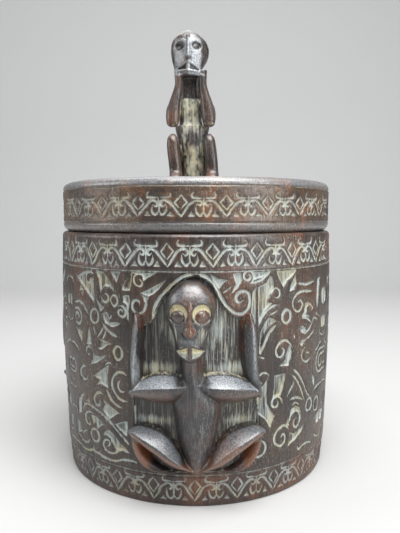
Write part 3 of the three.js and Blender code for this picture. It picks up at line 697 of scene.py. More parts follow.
# %% [markdown]
# A piece of the wall is a closed slab, made flat and bent round the axis last, so that the
# carving stays a flat drawing. A grid of small faces is its outside. Its upper edge is extruded
# in to the bore and down, a bridge closes it to the lower edge, and the two ends are filled.

# %% From flat to round
SKIN = 0.465                     # size of the faces that are carved
MERGE = 0.004                    # points nearer than this become one


def lay_flat(bm, arcs, low, high):
    """A grid of faces over an arc and a height, facing the front. Returns its two long edges."""
    width, height = arcs[1] - arcs[0], high - low
    bmesh.ops.create_grid(bm, x_segments=round(width / SKIN), y_segments=round(height / SKIN), size=0.5)
    shape = Matrix.Diagonal((width, height, 1, 1))
    upright = Matrix.Rotation(math.pi / 2, 4, "X")
    middle = Matrix.Translation((sum(arcs) / 2, 0, (low + high) / 2))
    bmesh.ops.transform(bm, matrix=middle @ upright @ shape, verts=bm.verts)
    rim = [edge for edge in bm.edges if edge.is_boundary]
    return [[edge for edge in rim if all(abs(vert.co.z - level) < 1e-3 for vert in edge.verts)]
            for level in (low, high)]


def draw_in(bm, chain, radius, height):
    """Extrudes a chain of edges to a radius and a height of the flat shape."""
    made = bmesh.ops.extrude_edge_only(bm, edges=chain)["geom"]
    moved = {item for item in made if isinstance(item, bmesh.types.BMVert)}
    for vert in moved:
        vert.co.y = radius
        vert.co.z = height
    return [item for item in made if isinstance(item, bmesh.types.BMEdge) and moved.issuperset(item.verts)]


def points_of(mesh):
    """All points of a mesh as an array."""
    flat = np.empty(len(mesh.vertices) * 3)
    mesh.vertices.foreach_get("co", flat)
    return flat.reshape(-1, 3)


def move_points(mesh, points):
    """Puts the points of a mesh where an array says."""
    mesh.vertices.foreach_set("co", np.ascontiguousarray(points, np.float64).ravel())
    mesh.update()


def keep_values(mesh, **values):
    """Stores numbers for each point under names that a material can read."""
    for name, numbers in values.items():
        stored = mesh.attributes.new(name, "FLOAT", "POINT")
        stored.data.foreach_set("value", np.asarray(numbers, np.float32))


def bend_round(angle, radius, height):
    """Places in metres round the axis. Angle 0 is the front."""
    return np.column_stack([radius * np.sin(angle), -radius * np.cos(angle), height]) * MM


def close_seams(piece, sharp_angle=60):
    """Merges points that lie together, turns the faces outwards and keeps only hard edges sharp."""
    bm = bmesh.new()
    bm.from_mesh(piece.data)
    bmesh.ops.remove_doubles(bm, verts=bm.verts, dist=MERGE * MM)
    bmesh.ops.recalc_face_normals(bm, faces=bm.faces)
    open_edges = sum(edge.is_boundary for edge in bm.edges)
    triangles = sum(len(face.verts) - 2 for face in bm.faces)
    for face in bm.faces:
        face.smooth = True
    bm.to_mesh(piece.data)
    bm.free()
    piece.data.set_sharp_from_angle(angle=math.radians(sharp_angle))
    print(piece.name, triangles, "triangles,", open_edges, "open edges")


# %% [markdown]
# Wood shrinks along its grain lines and the knife leaves it a little uneven, so two kinds of
# noise are added to every cut: long upright streaks, and a broad swell. Inside the deep ground
# the streaks are strong, because the carver left the marks of the gouge there. The upright
# coordinate runs along the profile, so that a slab also follows the rounded foot or rim.

# %% Carved slabs
GRAIN_CELL = (1.1, 1.1, 16)
FINE_GRAIN_CELL = (0.55, 0.55, 5)
SWELL_CELL = (14, 14, 22)
GRAIN_HEIGHT = 0.07
SWELL_HEIGHT = 0.16
FADE_REACH = 1.5                 # the unevenness dies out towards the edges of a slab
BORDER_DEPTH = 0.7
BORDER_REACH = 0.9
BORDER_RESIDUE_REACH = 0.55
QUARTER = math.pi / 2 - 1        # how much longer a quarter round is than its radius
HALF_TURN = math.pi * ARC_RADIUS


def weathering(places, depth):
    """How far the surface lies below the clean cut, at places in millimetres."""
    streak = noise(places, GRAIN_CELL) + 0.6 * noise(places, FINE_GRAIN_CELL)
    swell = noise(places, SWELL_CELL)
    rough = GRAIN_HEIGHT * (1 + 1.6 * smooth_step(depth / GROUND_DEPTH))
    return np.maximum(rough * streak + SWELL_HEIGHT * (swell + 0.4), 0)


def rounded_profile(along, radius_at, low, low_round, high, high_round):
    """Radius and height at each length along an upright profile with rounded ends."""
    under = np.clip((low + low_round - along) / max(low_round, 1e-6), 0, math.pi / 2)
    over = np.clip((along - high + high_round) / max(high_round, 1e-6), 0, math.pi / 2)
    height = np.clip(along, low + low_round, high - high_round)
    height = height - low_round * np.sin(under) + high_round * np.sin(over)
    radius = radius_at(height) - low_round * (1 - np.cos(under)) - high_round * (1 - np.cos(over))
    return radius, height


def carved_slab(name, arcs, low, high, inside, pattern, radius_at=wall_radius, low_round=0, high_round=0):
    """A piece of wall with a carved outside. inside lists (radius, height) from its top edge down,
    and pattern says depth and residue at arcs and heights. Without arcs it is a full ring."""
    start = low - low_round * QUARTER
    end = high + high_round * QUARTER
    bm = bmesh.new()
    foot, chain = lay_flat(bm, arcs or (-HALF_TURN, HALF_TURN), start, end)
    for radius, height in inside:
        chain = draw_in(bm, chain, radius, height)
    bmesh.ops.bridge_loops(bm, edges=foot + chain)
    if arcs:
        bmesh.ops.holes_fill(bm, edges=[edge for edge in bm.edges if edge.is_boundary], sides=0)
    piece = new_object(name, bm)
    arc, inner_radius, along = points_of(piece.data).T
    if not arcs:
        arc = np.where(arc > HALF_TURN - 0.01, -HALF_TURN, arc)       # both ends meet at the back
    outside = inner_radius < 1
    bare, height = rounded_profile(along, radius_at, low, low_round, high, high_round)
    depth = np.zeros(len(arc))
    pale = np.zeros(len(arc))
    depth[outside], pale[outside] = pattern(arc[outside], along[outside])
    for level, rounding in ((low, low_round), (high, high_round)):
        if rounding == 0:
            away = np.abs(along - level)
            depth = np.maximum(depth, BORDER_DEPTH * ramp(away, BORDER_REACH, -BORDER_REACH))
            pale = np.maximum(pale, 0.95 * smooth_step(2 - 2 * away / BORDER_RESIDUE_REACH))
    fade = ramp(along, start, FADE_REACH) * ramp(along, end, -FADE_REACH)
    places = bend_round(arc / ARC_RADIUS, bare, height) / MM
    carved = bare - depth - weathering(places, depth) * fade
    radius = np.where(outside, carved, inner_radius)
    move_points(piece.data, bend_round(arc / ARC_RADIUS, radius, np.where(outside, height, along)))
    keep_values(piece.data, residue=pale * outside, depth=depth * outside / FIGURE_GROUND_DEPTH)
    close_seams(piece)
    return piece


# %% [markdown]
# Each of the three fields between the figures is made in two halves, from the middle of a figure
# to the middle of the field. The fields at the back repeat the drawing of the left half.

# %% The six half fields
FIGURE_AZIMUTHS = (-0.2, -118.5, 122.5)
LEFT_FIELD_MIDDLE = (FIGURE_AZIMUTHS[0] + FIGURE_AZIMUTHS[1]) / 2
RIGHT_FIELD_MIDDLE = (FIGURE_AZIMUTHS[0] + FIGURE_AZIMUTHS[2]) / 2
BACK_FIELD_MIDDLE = (FIGURE_AZIMUTHS[1] + FIGURE_AZIMUTHS[2]) / 2 + 180
LEFT_REACH = 103.35              # how far out each half was drawn
RIGHT_REACH = 107.16
HALF_FIELDS = [
    ("wall_front_left", LEFT_SCROLL, LEFT_REACH, FIGURE_AZIMUTHS[0], LEFT_FIELD_MIDDLE),
    ("wall_front_right", RIGHT_SCROLL, RIGHT_REACH, FIGURE_AZIMUTHS[0], RIGHT_FIELD_MIDDLE),
    ("wall_left", LEFT_SCROLL, LEFT_REACH, FIGURE_AZIMUTHS[1], LEFT_FIELD_MIDDLE),
    ("wall_right", RIGHT_SCROLL, RIGHT_REACH, FIGURE_AZIMUTHS[2], RIGHT_FIELD_MIDDLE),
    ("wall_back_left", LEFT_SCROLL, LEFT_REACH, FIGURE_AZIMUTHS[1], BACK_FIELD_MIDDLE - 360),
    ("wall_back_right", LEFT_SCROLL, LEFT_REACH, FIGURE_AZIMUTHS[2], BACK_FIELD_MIDDLE),
]


def half_field(name, scroll, drawn_reach, figure_azimuth, edge_azimuth):
    """The slab of wall between a figure's middle and the middle of the field beside it."""
    figure_arc, edge_arc = np.radians((figure_azimuth, edge_azimuth)) * ARC_RADIUS

    def pattern(arc, height):
        across = abs(arc - figure_arc) * drawn_reach / abs(edge_arc - figure_arc)
        return scroll_half(across, height, scroll)

    inside = [bore_place(UPPER_BAND_FOOT), bore_place(FOOT_BAND_TOP)]
    return carved_slab(name, sorted((figure_arc, edge_arc)), FOOT_BAND_TOP, UPPER_BAND_FOOT, inside, pattern)


wall_pieces = [half_field(*row) for row in HALF_FIELDS]

# %% [markdown]
# The bands at the foot, the rim and the lid carry one motif, 23 times round: a V whose arms roll
# inwards, a diamond over its foot, and a small W between neighbours. Each half mirrors the
# other, so only half a motif is drawn, and the arc is folded onto it. A slow wander of the fold
# keeps the repeats from looking stamped.

# %% Band motif
MOTIFS = 23
PERIOD = 2 * math.pi * ARC_RADIUS / MOTIFS
HALF = PERIOD / 2
BAND_LINES = [
    (2.1, [(0, 2.5), (3, 7), (6, 11.2), (9, 13.3), (11.5, 13.2), (12.7, 11.3), (11.4, 9.7), (9.8, 10.7)]),
    (1.8, [(9.2, 10), (9.2, 6.6), (10.5, 4.2), (12.3, 4.1), (HALF, 7)]),
    (1.7, np.array([(HALF, 5), (HALF, 16)])),
    (2, [(HALF, 14.9), (10, 15.2), (7.3, 15.4), (6.3, 17), (7.3, 18.8)]),
    (1.5, np.array([(0, 16.7), (3.8, 11.8), (0, 6.9)])),
]
BAND_GROUNDS = [[(3.7, 2.5, -0.2), (6.5, 7.1, -0.3), (9.3, 2.5, 0)]]
WANDER = 0.45
WANDER_CELL = (9, 5, 1)
LIFT_SHIFT = 500                 # takes the noise that lifts a motif from another place


def band_pattern(first_foot, low, seed, share=1):
    """The carving of a band. first_foot is the arc of one V, low the height where the drawing
    starts, and share how high it is against the 20 mm that it was drawn."""
    def pattern(arc, height):
        height = (height - low) / share
        wander, lift = (
            WANDER * noise(np.column_stack([arc + shift, height, np.full(len(arc), seed)]), WANDER_CELL)
            for shift in (0, LIFT_SHIFT)
        )
        folded = np.mod(arc - first_foot + wander + HALF, PERIOD) - HALF
        return carve(np.column_stack([np.abs(folded), height + lift]), BAND_GROUNDS, lines=BAND_LINES)

    return pattern


# %% [markdown]
# A band is a slab that goes all the way round. The foot band's section steps in below for the
# floor disc, and the rim band's opens into the mouth.

# %% Band rings
foot_band = carved_slab(
    "foot_band", None, 0, FOOT_BAND_TOP,
    [bore_place(FOOT_BAND_TOP), bore_place(FLOOR_TOP), (REBATE_RADIUS, FLOOR_TOP), (REBATE_RADIUS, 0)],
    band_pattern(-1.3, 1.4, seed=3), low_round=FOOT_ROUND,
)
rim_band = carved_slab(
    "rim_band", None, UPPER_BAND_FOOT, WALL_TOP, [bore_place(WALL_TOP), bore_place(UPPER_BAND_FOOT)],
    band_pattern(9.6, UPPER_BAND_FOOT, seed=11), high_round=RIM_ROUND,
)

# %% [markdown]
# The lid is turned, so a profile is spun round the axis: the ring that sits in the mouth, the
# two rolls at the edge, and the slightly crowned top. Its patterned band is a ring of its own
# piece, let into the edge. The middle of the lid is left open by the spin and bridged to a
# round hole, off the axis, for the tenon of the handle.

# %% Lid
LID_BAND_LOW = 175.4
LID_BAND_HIGH = 197.6
LID_EDGE_TOP = 203
LID_BAND_BED = 94                # radius that the band is let in to
SPIGOT_RADIUS = 86
SPIGOT_CHAMFER = 1.5
SPIGOT_FOOT = lid_low.z
LID_HOLLOW_RADIUS = 76
HOLLOW_ROUND = 4
LID_CEILING = 190
ROLL_INSET = 5.4
ROLL_GAP = 0.8                   # between a roll and the band
SEAT_RADIUS = 34
LID_CORE = 20                    # inside this radius the lid is bridged to the tenon's hole
FINIAL_X = -3.8
TENON_RADIUS = 8
TENON_HOLE_RADIUS = TENON_RADIUS + 0.3
LID_STEPS = 480
WORN_LID = 0.28                  # how far the lid's edge and top are worn


def quarter(start, end, steps=14):
    """A quarter round from a point on a level face to a point on an upright side."""
    t = np.linspace(0, math.pi / 2, steps)
    across = start[0] + (end[0] - start[0]) * np.sin(t)
    up = end[1] + (start[1] - end[1]) * np.cos(t)
    return list(zip(across, up))


def straight(start, end, spacing):
    """Points from start towards end, without the end."""
    count = max(1, round(math.dist(start, end) / spacing))
    return [tuple(row) for row in np.linspace(start, end, count, endpoint=False)]


roll_radius = LID_RADIUS - ROLL_INSET
hollow_start = (LID_HOLLOW_RADIUS - HOLLOW_ROUND, LID_CEILING)
hollow_end = (LID_HOLLOW_RADIUS, LID_CEILING - HOLLOW_ROUND)
lid_profile = [
    *straight((LID_CORE, LID_CEILING), hollow_start, 6),
    *quarter(hollow_start, hollow_end, 6)[:-1],
    *straight(hollow_end, (LID_HOLLOW_RADIUS, SPIGOT_FOOT), 5),
    (LID_HOLLOW_RADIUS, SPIGOT_FOOT),
    (SPIGOT_RADIUS - SPIGOT_CHAMFER, SPIGOT_FOOT),
    (SPIGOT_RADIUS, SPIGOT_FOOT + SPIGOT_CHAMFER),
    *straight((SPIGOT_RADIUS, WALL_TOP), (roll_radius, WALL_TOP), 2),
    *quarter((roll_radius, WALL_TOP), (LID_RADIUS, LID_BAND_LOW - ROLL_GAP)),
    (LID_RADIUS - 0.25, LID_BAND_LOW - ROLL_GAP / 2),
    (LID_RADIUS - BORDER_DEPTH, LID_BAND_LOW),
    (LID_BAND_BED, LID_BAND_LOW),
    (LID_BAND_BED, LID_BAND_HIGH),
    (LID_RADIUS - BORDER_DEPTH, LID_BAND_HIGH),
    (LID_RADIUS - 0.25, LID_BAND_HIGH + ROLL_GAP / 2),
    *quarter((roll_radius, LID_EDGE_TOP), (LID_RADIUS, LID_BAND_HIGH + ROLL_GAP))[::-1],
    *straight((roll_radius, LID_EDGE_TOP), (SEAT_RADIUS, LID_TOP), 2)[1:],
    *straight((SEAT_RADIUS, LID_TOP), (LID_CORE, LID_TOP), 2),
    (LID_CORE, LID_TOP),
]
bm = bmesh.new()
tip = bmesh.ops.create_vert(bm, co=(lid_profile[0][0], 0, lid_profile[0][1]))["vert"][0]
for radius, height in lid_profile[1:]:
    tip = bmesh.ops.extrude_vert_indiv(bm, verts=[tip])["verts"][0]
    tip.co = (radius, 0, height)
bmesh.ops.spin(bm, geom=bm.verts[:] + bm.edges[:], cent=(0, 0, 0), axis=(0, 0, 1), angle=2 * math.pi,
               steps=LID_STEPS, use_merge=True)
open_edges = [edge for edge in bm.edges if edge.is_boundary]
hole = []
for height in (LID_TOP, LID_CEILING):
    made = bmesh.ops.create_circle(bm, segments=LID_STEPS, radius=TENON_HOLE_RADIUS,
                                   matrix=Matrix.Translation((FINIAL_X, 0, height)))
    circle = list({edge for vert in made["verts"] for edge in vert.link_edges})
    core = [edge for edge in open_edges if abs(edge.verts[0].co.z - height) < 1]
    bmesh.ops.bridge_loops(bm, edges=core + circle)
    hole += circle
bmesh.ops.bridge_loops(bm, edges=hole)
lid_body = new_object("lid_body", bm)
flat = points_of(lid_body.data)
height = flat[:, 2].copy()
reach = np.hypot(flat[:, 0], flat[:, 1])
beside_band = np.abs(height - (LID_BAND_LOW + LID_BAND_HIGH) / 2) > 11.2
on_edge = (reach > max(roll_radius - 3, LID_BAND_BED + 0.1)) & (height > WALL_TOP + 0.5) & beside_band
on_top = (height > LID_EDGE_TOP - 0.1) & (reach > SEAT_RADIUS)
worn = WORN_LID * (0.5 + 0.5 * noise(flat, (9, 9, 5))) + 0.05 * noise(flat, (1.2, 6, 1.2))
worn = np.maximum(worn, 0)
flat[:, :2] *= (1 - on_edge * worn / np.maximum(reach, 1))[:, None]
flat[:, 2] -= on_top * worn
move_points(lid_body.data, flat * MM)
# Painted highlight, with some dust, on the rolls of the edge, stronger on the upper roll.
on_upper_roll = height > LID_BAND_HIGH + 1
keep_values(lid_body.data, polish=on_edge, bloom=on_edge * np.where(on_upper_roll, 0.45, 0.25))
close_seams(lid_body, 40)

lid_band = carved_slab(
    "lid_band", None, LID_BAND_LOW, LID_BAND_HIGH,
    [(LID_BAND_BED, LID_BAND_HIGH), (LID_BAND_BED, LID_BAND_LOW)],
    band_pattern(-9.4, LID_BAND_LOW + 1.6, seed=19, share=0.88),
    radius_at=lambda height: np.full(np.shape(height), LID_RADIUS),
)

# %% [markdown]
# A carver cuts a limb with flat strokes that meet in a soft ridge. So each limb is lofted
# through knife sections: a grid is rolled into a tube, and each of its rings is put where the
# stations say. Tubes that overlap are then fused by a voxel remesh into one skin, as the figure
# is one wood with itself, and the face is cut by moving the points of that skin.

# %% Lofted limbs
LIMB_SIDES = 40
ROW_STEPS = 5
ROOT = 4                         # how far a relief limb reaches under the wall's face


def stations(rows):
    """Smooth rows between the measured ones."""
    return through(rows, ROW_STEPS)


def ring_of(x, y, z):
    """The points of one ring. A plain number holds for all of them."""
    return np.column_stack(np.broadcast_arrays(x, y, z))


def tube(bm, rings):
    """A closed tube through rings of points."""
    rings = np.array(rings)
    rows, sides = rings.shape[:2]
    verts = bmesh.ops.create_grid(bm, x_segments=sides - 1, y_segments=rows - 1, size=0.5)["verts"]
    for vert in verts:
        column = round((vert.co.x + 0.5) * (sides - 1))
        row = round((vert.co.y + 0.5) * (rows - 1))
        vert.co = rings[row, column]
    faces = {face for vert in verts for face in vert.link_faces}
    bmesh.ops.remove_doubles(bm, verts=verts, dist=1e-4)
    rim = {edge for face in faces if face.is_valid for edge in face.edges if edge.is_boundary}
    capped = bmesh.ops.holes_fill(bm, edges=list(rim), sides=0)["faces"]
    bmesh.ops.recalc_face_normals(bm, faces=[face for face in faces if face.is_valid] + capped)


def oval(power, sides=LIMB_SIDES):
    """A round outline of unit size. Power 2 is a circle, less is sharper, more is squarer."""
    angle = np.linspace(0, 2 * math.pi, sides + 1)
    shape = np.column_stack([np.cos(angle), np.sin(angle)])
    return np.sign(shape) * np.abs(shape) ** (2 / power)


def knife_section(edge_a, ridge, edge_b, height, power_a, power_b, root=ROOT):
    """Section of a relief limb: places across it, and how far each stands out."""
    side_a, side_b = oval(power_a), oval(power_b)
    swing, rise = np.where(side_b[:, :1] > 0, side_a, side_b).T
    across = ridge + swing * np.where(swing > 0, edge_a - ridge, ridge - edge_b)
    return across, np.where(rise > 0, -root + (height + root) * rise, -root)


# Arms and thighs: across, upper edge, ridge, lower edge, height
UPPER_ARM = [
    [2, 59, 56, 49, 7.6], [8, 61.4, 55.6, 46, 10.5], [12, 62.4, 55.2, 43.6, 11.3],
    [17, 62.8, 54.8, 42.4, 11.6], [23, 61.8, 54.2, 42.2, 11.5], [28, 59.8, 53.6, 42.6, 10.7],
    [33, 56.2, 52.4, 43.6, 9.4], [37.5, 52, 50.2, 45.6, 8.2], [40.5, 50, 49, 47.6, 5.6],
]
THIGH = [
    [2, 3, 2, 0, 6], [7, 7, 5.5, 1, 8], [10, 12.5, 8.2, 1.4, 9.5], [14, 19.5, 11.5, 2.4, 10.6],
    [18.5, 24.8, 15, 4.8, 11.4], [24, 27.6, 19.2, 9, 11.5], [30, 28.8, 22.4, 13.2, 11.1],
    [35.5, 28.9, 25.2, 16.8, 9.9], [39.5, 27.4, 25.2, 19.6, 8.2], [42.6, 25, 24.2, 22.5, 5.5],
]
# Forearms and shins: up, inner edge, ridge, outer edge, height
LEFT_FOREARM = [
    [46, 34.5, 37.5, 41.6, 7], [52, 33, 35.2, 42, 8.2], [62, 31.6, 33.6, 41.3, 8.4],
    [74, 30, 31.9, 40.9, 8.2], [86, 29.3, 31, 39.9, 7.2], [93, 30, 32, 39, 5.4], [97.5, 32.5, 34, 37.5, 3],
]
RIGHT_FOREARM = [
    [46, 34.5, 38, 41.4, 7], [52, 33, 37, 41.6, 8.2], [62, 31.6, 36.4, 41, 8.4], [74, 30, 35.6, 41, 8.2],
    [86, 29.6, 35, 40.4, 7.2], [93, 30, 35, 39, 5.4], [97.5, 32.5, 35, 37.5, 3],
]
SHIN = [
    [-1, 15, 25, 33.4, 3], [2, 22, 31, 36.2, 4.4], [6, 28.5, 34.5, 38.8, 5.6], [12, 32.5, 37, 41, 6.8],
    [18, 34.5, 38, 42, 7.4], [25, 36, 39, 41.8, 7],
]
# Trunk, head and nose: up, half width, height
TRUNK = [
    [-1.5, 4.6, 3], [0, 5.4, 4], [5, 7.8, 6.5], [12, 10, 8], [21.5, 12.8, 8.8], [32, 14.3, 9.6],
    [40, 15.4, 10.2], [44, 15.6, 10.2], [48, 13.5, 10], [53, 9.6, 9.8], [60, 7.4, 9.2], [68, 7.2, 8.5],
    [76, 6.8, 8],
]
HEAD = [
    [71, 1.7, 12.4], [72.2, 3.8, 13.8], [74, 6.2, 14.8], [76.2, 8.2, 15.3], [78.5, 8.7, 15.4],
    [82, 9, 15.2], [88, 10.6, 15], [94.5, 13.2, 14.6], [101, 14.3, 14.4], [107.2, 13.2, 13.8],
    [111, 11.6, 12.4], [114.2, 9.1, 10.4], [116.6, 6.4, 7.6], [118, 3.6, 4],
]
NOSE = [
    [86.3, 0.6, 16.4], [87.4, 1.9, 17.4], [89.6, 3.1, 17.6], [91.4, 2.4, 17.3], [93.5, 1.6, 16.9],
    [100, 1.3, 16.3], [106.5, 1, 14.6],
]
FLAT = 1.12                      # power of a side that is one flat stroke
FACET = 1.25
ROUND = 1.9
MIDDLE_PARTS = ((TRUNK, 1.6, ROOT), (HEAD, 2.5, 0), (NOSE, 1.6, -11))     # stations, power, root


def relief_limbs(bm):
    """All the limbs of a relief figure, flat: x across, -y outwards, z up."""
    for side in (-1, 1):
        for limb in (UPPER_ARM, THIGH):
            rings = []
            for across, *section in stations(limb):
                up, out = knife_section(*section, FACET, ROUND)
                rings.append(ring_of(side * across, -out, up))
            tube(bm, rings)
        forearm = (LEFT_FOREARM, 2, FLAT) if side < 0 else (RIGHT_FOREARM, FACET, ROUND)
        for limb, inner_power, outer_power in (forearm, (SHIN, ROUND, FACET)):
            rings = []
            for up, *section in stations(limb):
                across, out = knife_section(*section, inner_power, outer_power)
                rings.append(ring_of(side * across, -out, up))
            tube(bm, rings)
    for rows, power, root in MIDDLE_PARTS:
        rings = []
        for up, half, height in stations(rows):
            across, out = knife_section(-half, 0, half, height, power, power, root)
            if root == 0:
                out = np.where(oval(power)[:, 1] < -0.01, -ROOT, out)
            rings.append(ring_of(across, -out, up))
        tube(bm, rings)


def fuse(name, bm, voxel, rounds):
    """One skin round all the overlapping tubes, smoothed a few times."""
    rough = new_object(name + "_rough", bm)
    remesh = rough.modifiers.new("fuse", "REMESH")
    remesh.mode = "VOXEL"
    remesh.voxel_size = voxel
    graph = bpy.context.evaluated_depsgraph_get()
    skin = bpy.data.meshes.new_from_object(rough.evaluated_get(graph))
    bm = bmesh.new()
    bm.from_mesh(skin)
    for _ in range(rounds):
        bmesh.ops.smooth_vert(bm, verts=bm.verts, factor=0.5, use_axis_x=True, use_axis_y=True,
                              use_axis_z=True)
    bpy.data.objects.remove(rough)
    bpy.data.meshes.remove(skin)
    return new_object(name, bm)


def normals_of(mesh):
    """The direction that the surface faces at each point."""
    flat = np.empty(len(mesh.vertices) * 3, np.float32)
    mesh.vertex_normals.foreach_get("vector", flat)
    return flat.reshape(-1, 3)


class Marks(dict):
    """Amounts from 0 to 1 at each point, under the names that the woods read."""

    def add(self, **amounts):
        """Lays more of each on, where it is more than what lies there."""
        for name, amount in amounts.items():
            self[name] = np.maximum(self.get(name, 0), amount)


# %% [markdown]
# The face is the part that one looks at. Its eyes are small domes set low in wide sockets that are
# filled with pale residue, the cheeks are hollowed beside a narrow nose with a broad tip, and the
# mouth is a diamond as wide as the jaw, with a bar of wood left standing in its middle.

# %% Face of a relief figure
SOCKET_UP = 99.7
SOCKET_ACROSS = 6.2
SOCKET_HEIGHT = 6.3              # half the height, and 1.16 times half the width
SOCKET_NARROWING = 1.16
SOCKET_DEPTH = 2.1
EYE_UP = 97.9
EYE_RADIUS = 4.0
EYE_HEIGHT = 2.2
MOUTH_UP = 77.6
MOUTH_HALF = 8.9
MOUTH_RISE = 4.2
MOUTH_BAR = 1.05
NOSE_FOOT = 86
NOSE_HALF = ([86, 87.5, 89.6, 91.2, 92.8, 106.5], [0.5, 2, 3.3, 2.5, 1.6, 1.2])     # at each height


def cut_face(across, up):
    """How far a face is cut in, and its marks: residue, how cream it is, warm wood, and dark wood with
    painted shade at the socket rims and beside and under the nose.
    """
    sideways = np.abs(across)
    cut = np.zeros(len(across))
    marks = Marks()
    for side in (-1, 1):
        from_middle = across - side * SOCKET_ACROSS
        from_socket = np.hypot(from_middle * SOCKET_NARROWING, up - SOCKET_UP)
        from_eye = np.hypot(from_middle - side * 0.2, up - EYE_UP)
        socket = ramp(from_socket, SOCKET_HEIGHT, -1.1)
        dome = np.sqrt(np.clip(1 - (from_eye / EYE_RADIUS) ** 2, 0, 1))
        cheek = bell(across - side * 7.6, 3.2) * bell(up - SOCKET_UP + 11.5, 6.5)
        cut += SOCKET_DEPTH * socket - EYE_HEIGHT * dome - 0.3 * bell(from_socket - 7, 0.9) + 1.7 * cheek
        on_eye = ramp(from_eye, EYE_RADIUS + 0.2, -0.7)
        lying = socket * (1 - on_eye)
        marks.add(residue=lying, cream=lying * (0.45 + 0.55 * ramp(up, SOCKET_UP - 3, 5)))
        marks.add(residue=0.62 * cheek, cream=0.3 * cheek)
        # The eyes are dark wood; the right one is painted warmer and lighter than the left, a painted
        # highlight.
        marks.add(warm=on_eye * (0.6 if side > 0 else 0.4), dark=on_eye * (0.375 if side > 0 else 0.75))
        # Painted shade: a dark ring along the rim of each socket.
        marks.add(dark=0.8 * bell(from_socket - 6.9, 0.6))
    share = np.clip(1 - sideways / MOUTH_HALF, 0, 1)
    rise = MOUTH_RISE * share
    away = np.abs(up - MOUTH_UP)
    lips = smooth_step((rise - away) / 0.5) * (share > 0) * ramp(sideways, MOUTH_BAR, 0.35)
    fold = 1 - smooth_step(away / 1.2)
    cut += (1.5 - 0.6 * fold) * lips - 0.55 * bell(away - rise - 0.55, 0.55) * (share > 0.01)
    marks.add(residue=lips, cream=lips * np.where(up > MOUTH_UP, 1, 0.25))
    marks.add(dark=0.9 * bell(away - rise - 0.6, 0.6) * (share > 0))
    nose_half = np.interp(up, *NOSE_HALF)
    nose = ramp(sideways, nose_half, -0.5) * ramp(up, NOSE_FOOT, 1) * ramp(up, 107, -3)
    beside = bell(sideways - nose_half - 0.7, 0.6) * ramp(up, NOSE_FOOT, 1) * (up < 97)
    under_nose = bell(up - NOSE_FOOT, 1.1) * bell(across, 2.6)
    cut += 0.5 * beside
    marks["residue"] *= 1 - nose
    # Painted shade beside and under the nose; the nose itself is red and a little darker wood.
    marks.add(warm=0.75 * nose, dark=np.maximum(0.7 * np.maximum(beside, under_nose), 0.3 * nose))
    return cut, marks


DRAWN_HEIGHT = 118
FIGURES = [                      # name, azimuth, foot, height, lean
    ("figure_front", FIGURE_AZIMUTHS[0], 24, DRAWN_HEIGHT, -3.3),
    ("figure_left", FIGURE_AZIMUTHS[1], 31, 111, 1),
    ("figure_right", FIGURE_AZIMUTHS[2], 26, 115, -0.7),
]
LEAN_START = 38
LEAN_SPAN = 32
THIGH_RIDGE = ([5, 10, 18.5, 30, 43], [4, 8, 15, 22.5, 25])     # height of the ridge at each arc
LEDGE_SHARE = ([30, 45, 64, 68], [0.5, 1, 1, 0.45])              # dust on the ledges at each height
FIGURE_VOXEL = 0.54


def relief_figure(name, azimuth, foot, height, lean):
    """A squatting figure, laid round the wall."""
    bm = bmesh.new()
    relief_limbs(bm)
    piece = fuse(name, bm, FIGURE_VOXEL, 3)
    across, out, up = points_of(piece.data).T * [[1], [-1], [1]]
    upward = normals_of(piece.data)[:, 2]
    sideways = np.abs(across)
    on_face = ramp(out, 6, 4) * ramp(up, 71.5, 1.2) * (sideways < 14.5) * (up < 112)
    cut, marks = cut_face(across, up)
    out -= cut * on_face
    marks = Marks({mark: amount * on_face for mark, amount in marks.items()})

    under = ramp(-upward, 0.1, 0.4) * (sideways > 4)
    shin = ramp(sideways, 27, 4) * ramp(up, 21, -4)
    ledge = ramp(out, 2.6, -2.4) * ramp(upward, 0.1, 0.3) * np.interp(up, *LEDGE_SHARE)
    ledge *= ramp(up, np.interp(sideways, *THIGH_RIDGE), 2)
    trunk = ramp(sideways, 13.5, -2.5) * ramp(up, 66, -4) * ramp(up, 3 + np.maximum(sideways - 5, 0) * 2.2, 4)
    marks.add(warm=0.85 * np.maximum(under, shin) * ramp(up, 34, -6), residue=0.5 * ledge, cream=0.4 * ledge)
    marks.add(warm=0.25 * under, dull=trunk)
    # Painted highlight, with some dust: a pale sheen on the facets that face up, the flat facets of the
    # forearms, the crown and the upper lip, kept off the residue.
    upper_facet = ramp(upward, 0.4, 0.25) * ramp(sideways, 8, 3) * (up < 66) * np.where(up < 35, 0.7, 1.35)
    forearm_facet = ramp(across, -37.6, 1.2) * ramp(across, -30.6, -1)
    forearm_facet += bell(across - 36, 0.9) + 0.3 * ramp(across, 30, 2) * (across < 36)
    forearm_facet *= 1.2 * ramp(up, 54, 6) * ramp(up, 95, -8)
    crown = 0.6 * ramp(up, 104, 6) * ramp(out, 8, 3)
    lip = 0.6 * on_face * bell(up - 84, 1.6) * bell(across, 7)
    rubbed_and_lit = np.maximum(upper_facet, forearm_facet) * ramp(out, 1.5, 1.5)
    rubbed_and_lit = np.maximum(rubbed_and_lit, np.maximum(crown, lip))
    bare = 1 - marks["residue"]
    marks.add(bloom=0.5 * rubbed_and_lit * bare, polish=ramp(out, 2, 5) * bare * (1 - 0.85 * trunk))

    angle = math.radians(azimuth) + (across + lean * ramp(up, LEAN_START, LEAN_SPAN)) / BELLY_RADIUS
    risen = foot + up * height / DRAWN_HEIGHT
    radius = wall_radius(risen) + out
    places = bend_round(angle, radius, risen) / MM
    worn = 0.06 * (1 + noise(places, GRAIN_CELL)) + 0.14 * (1 + noise(places, (9, 9, 12)))
    radius -= np.where(out > -1, worn, 0)
    move_points(piece.data, bend_round(angle, radius, risen))
    keep_values(piece.data, **marks)
    close_seams(piece, 75)
    return piece


figure_pieces = [relief_figure(*row) for row in FIGURES]

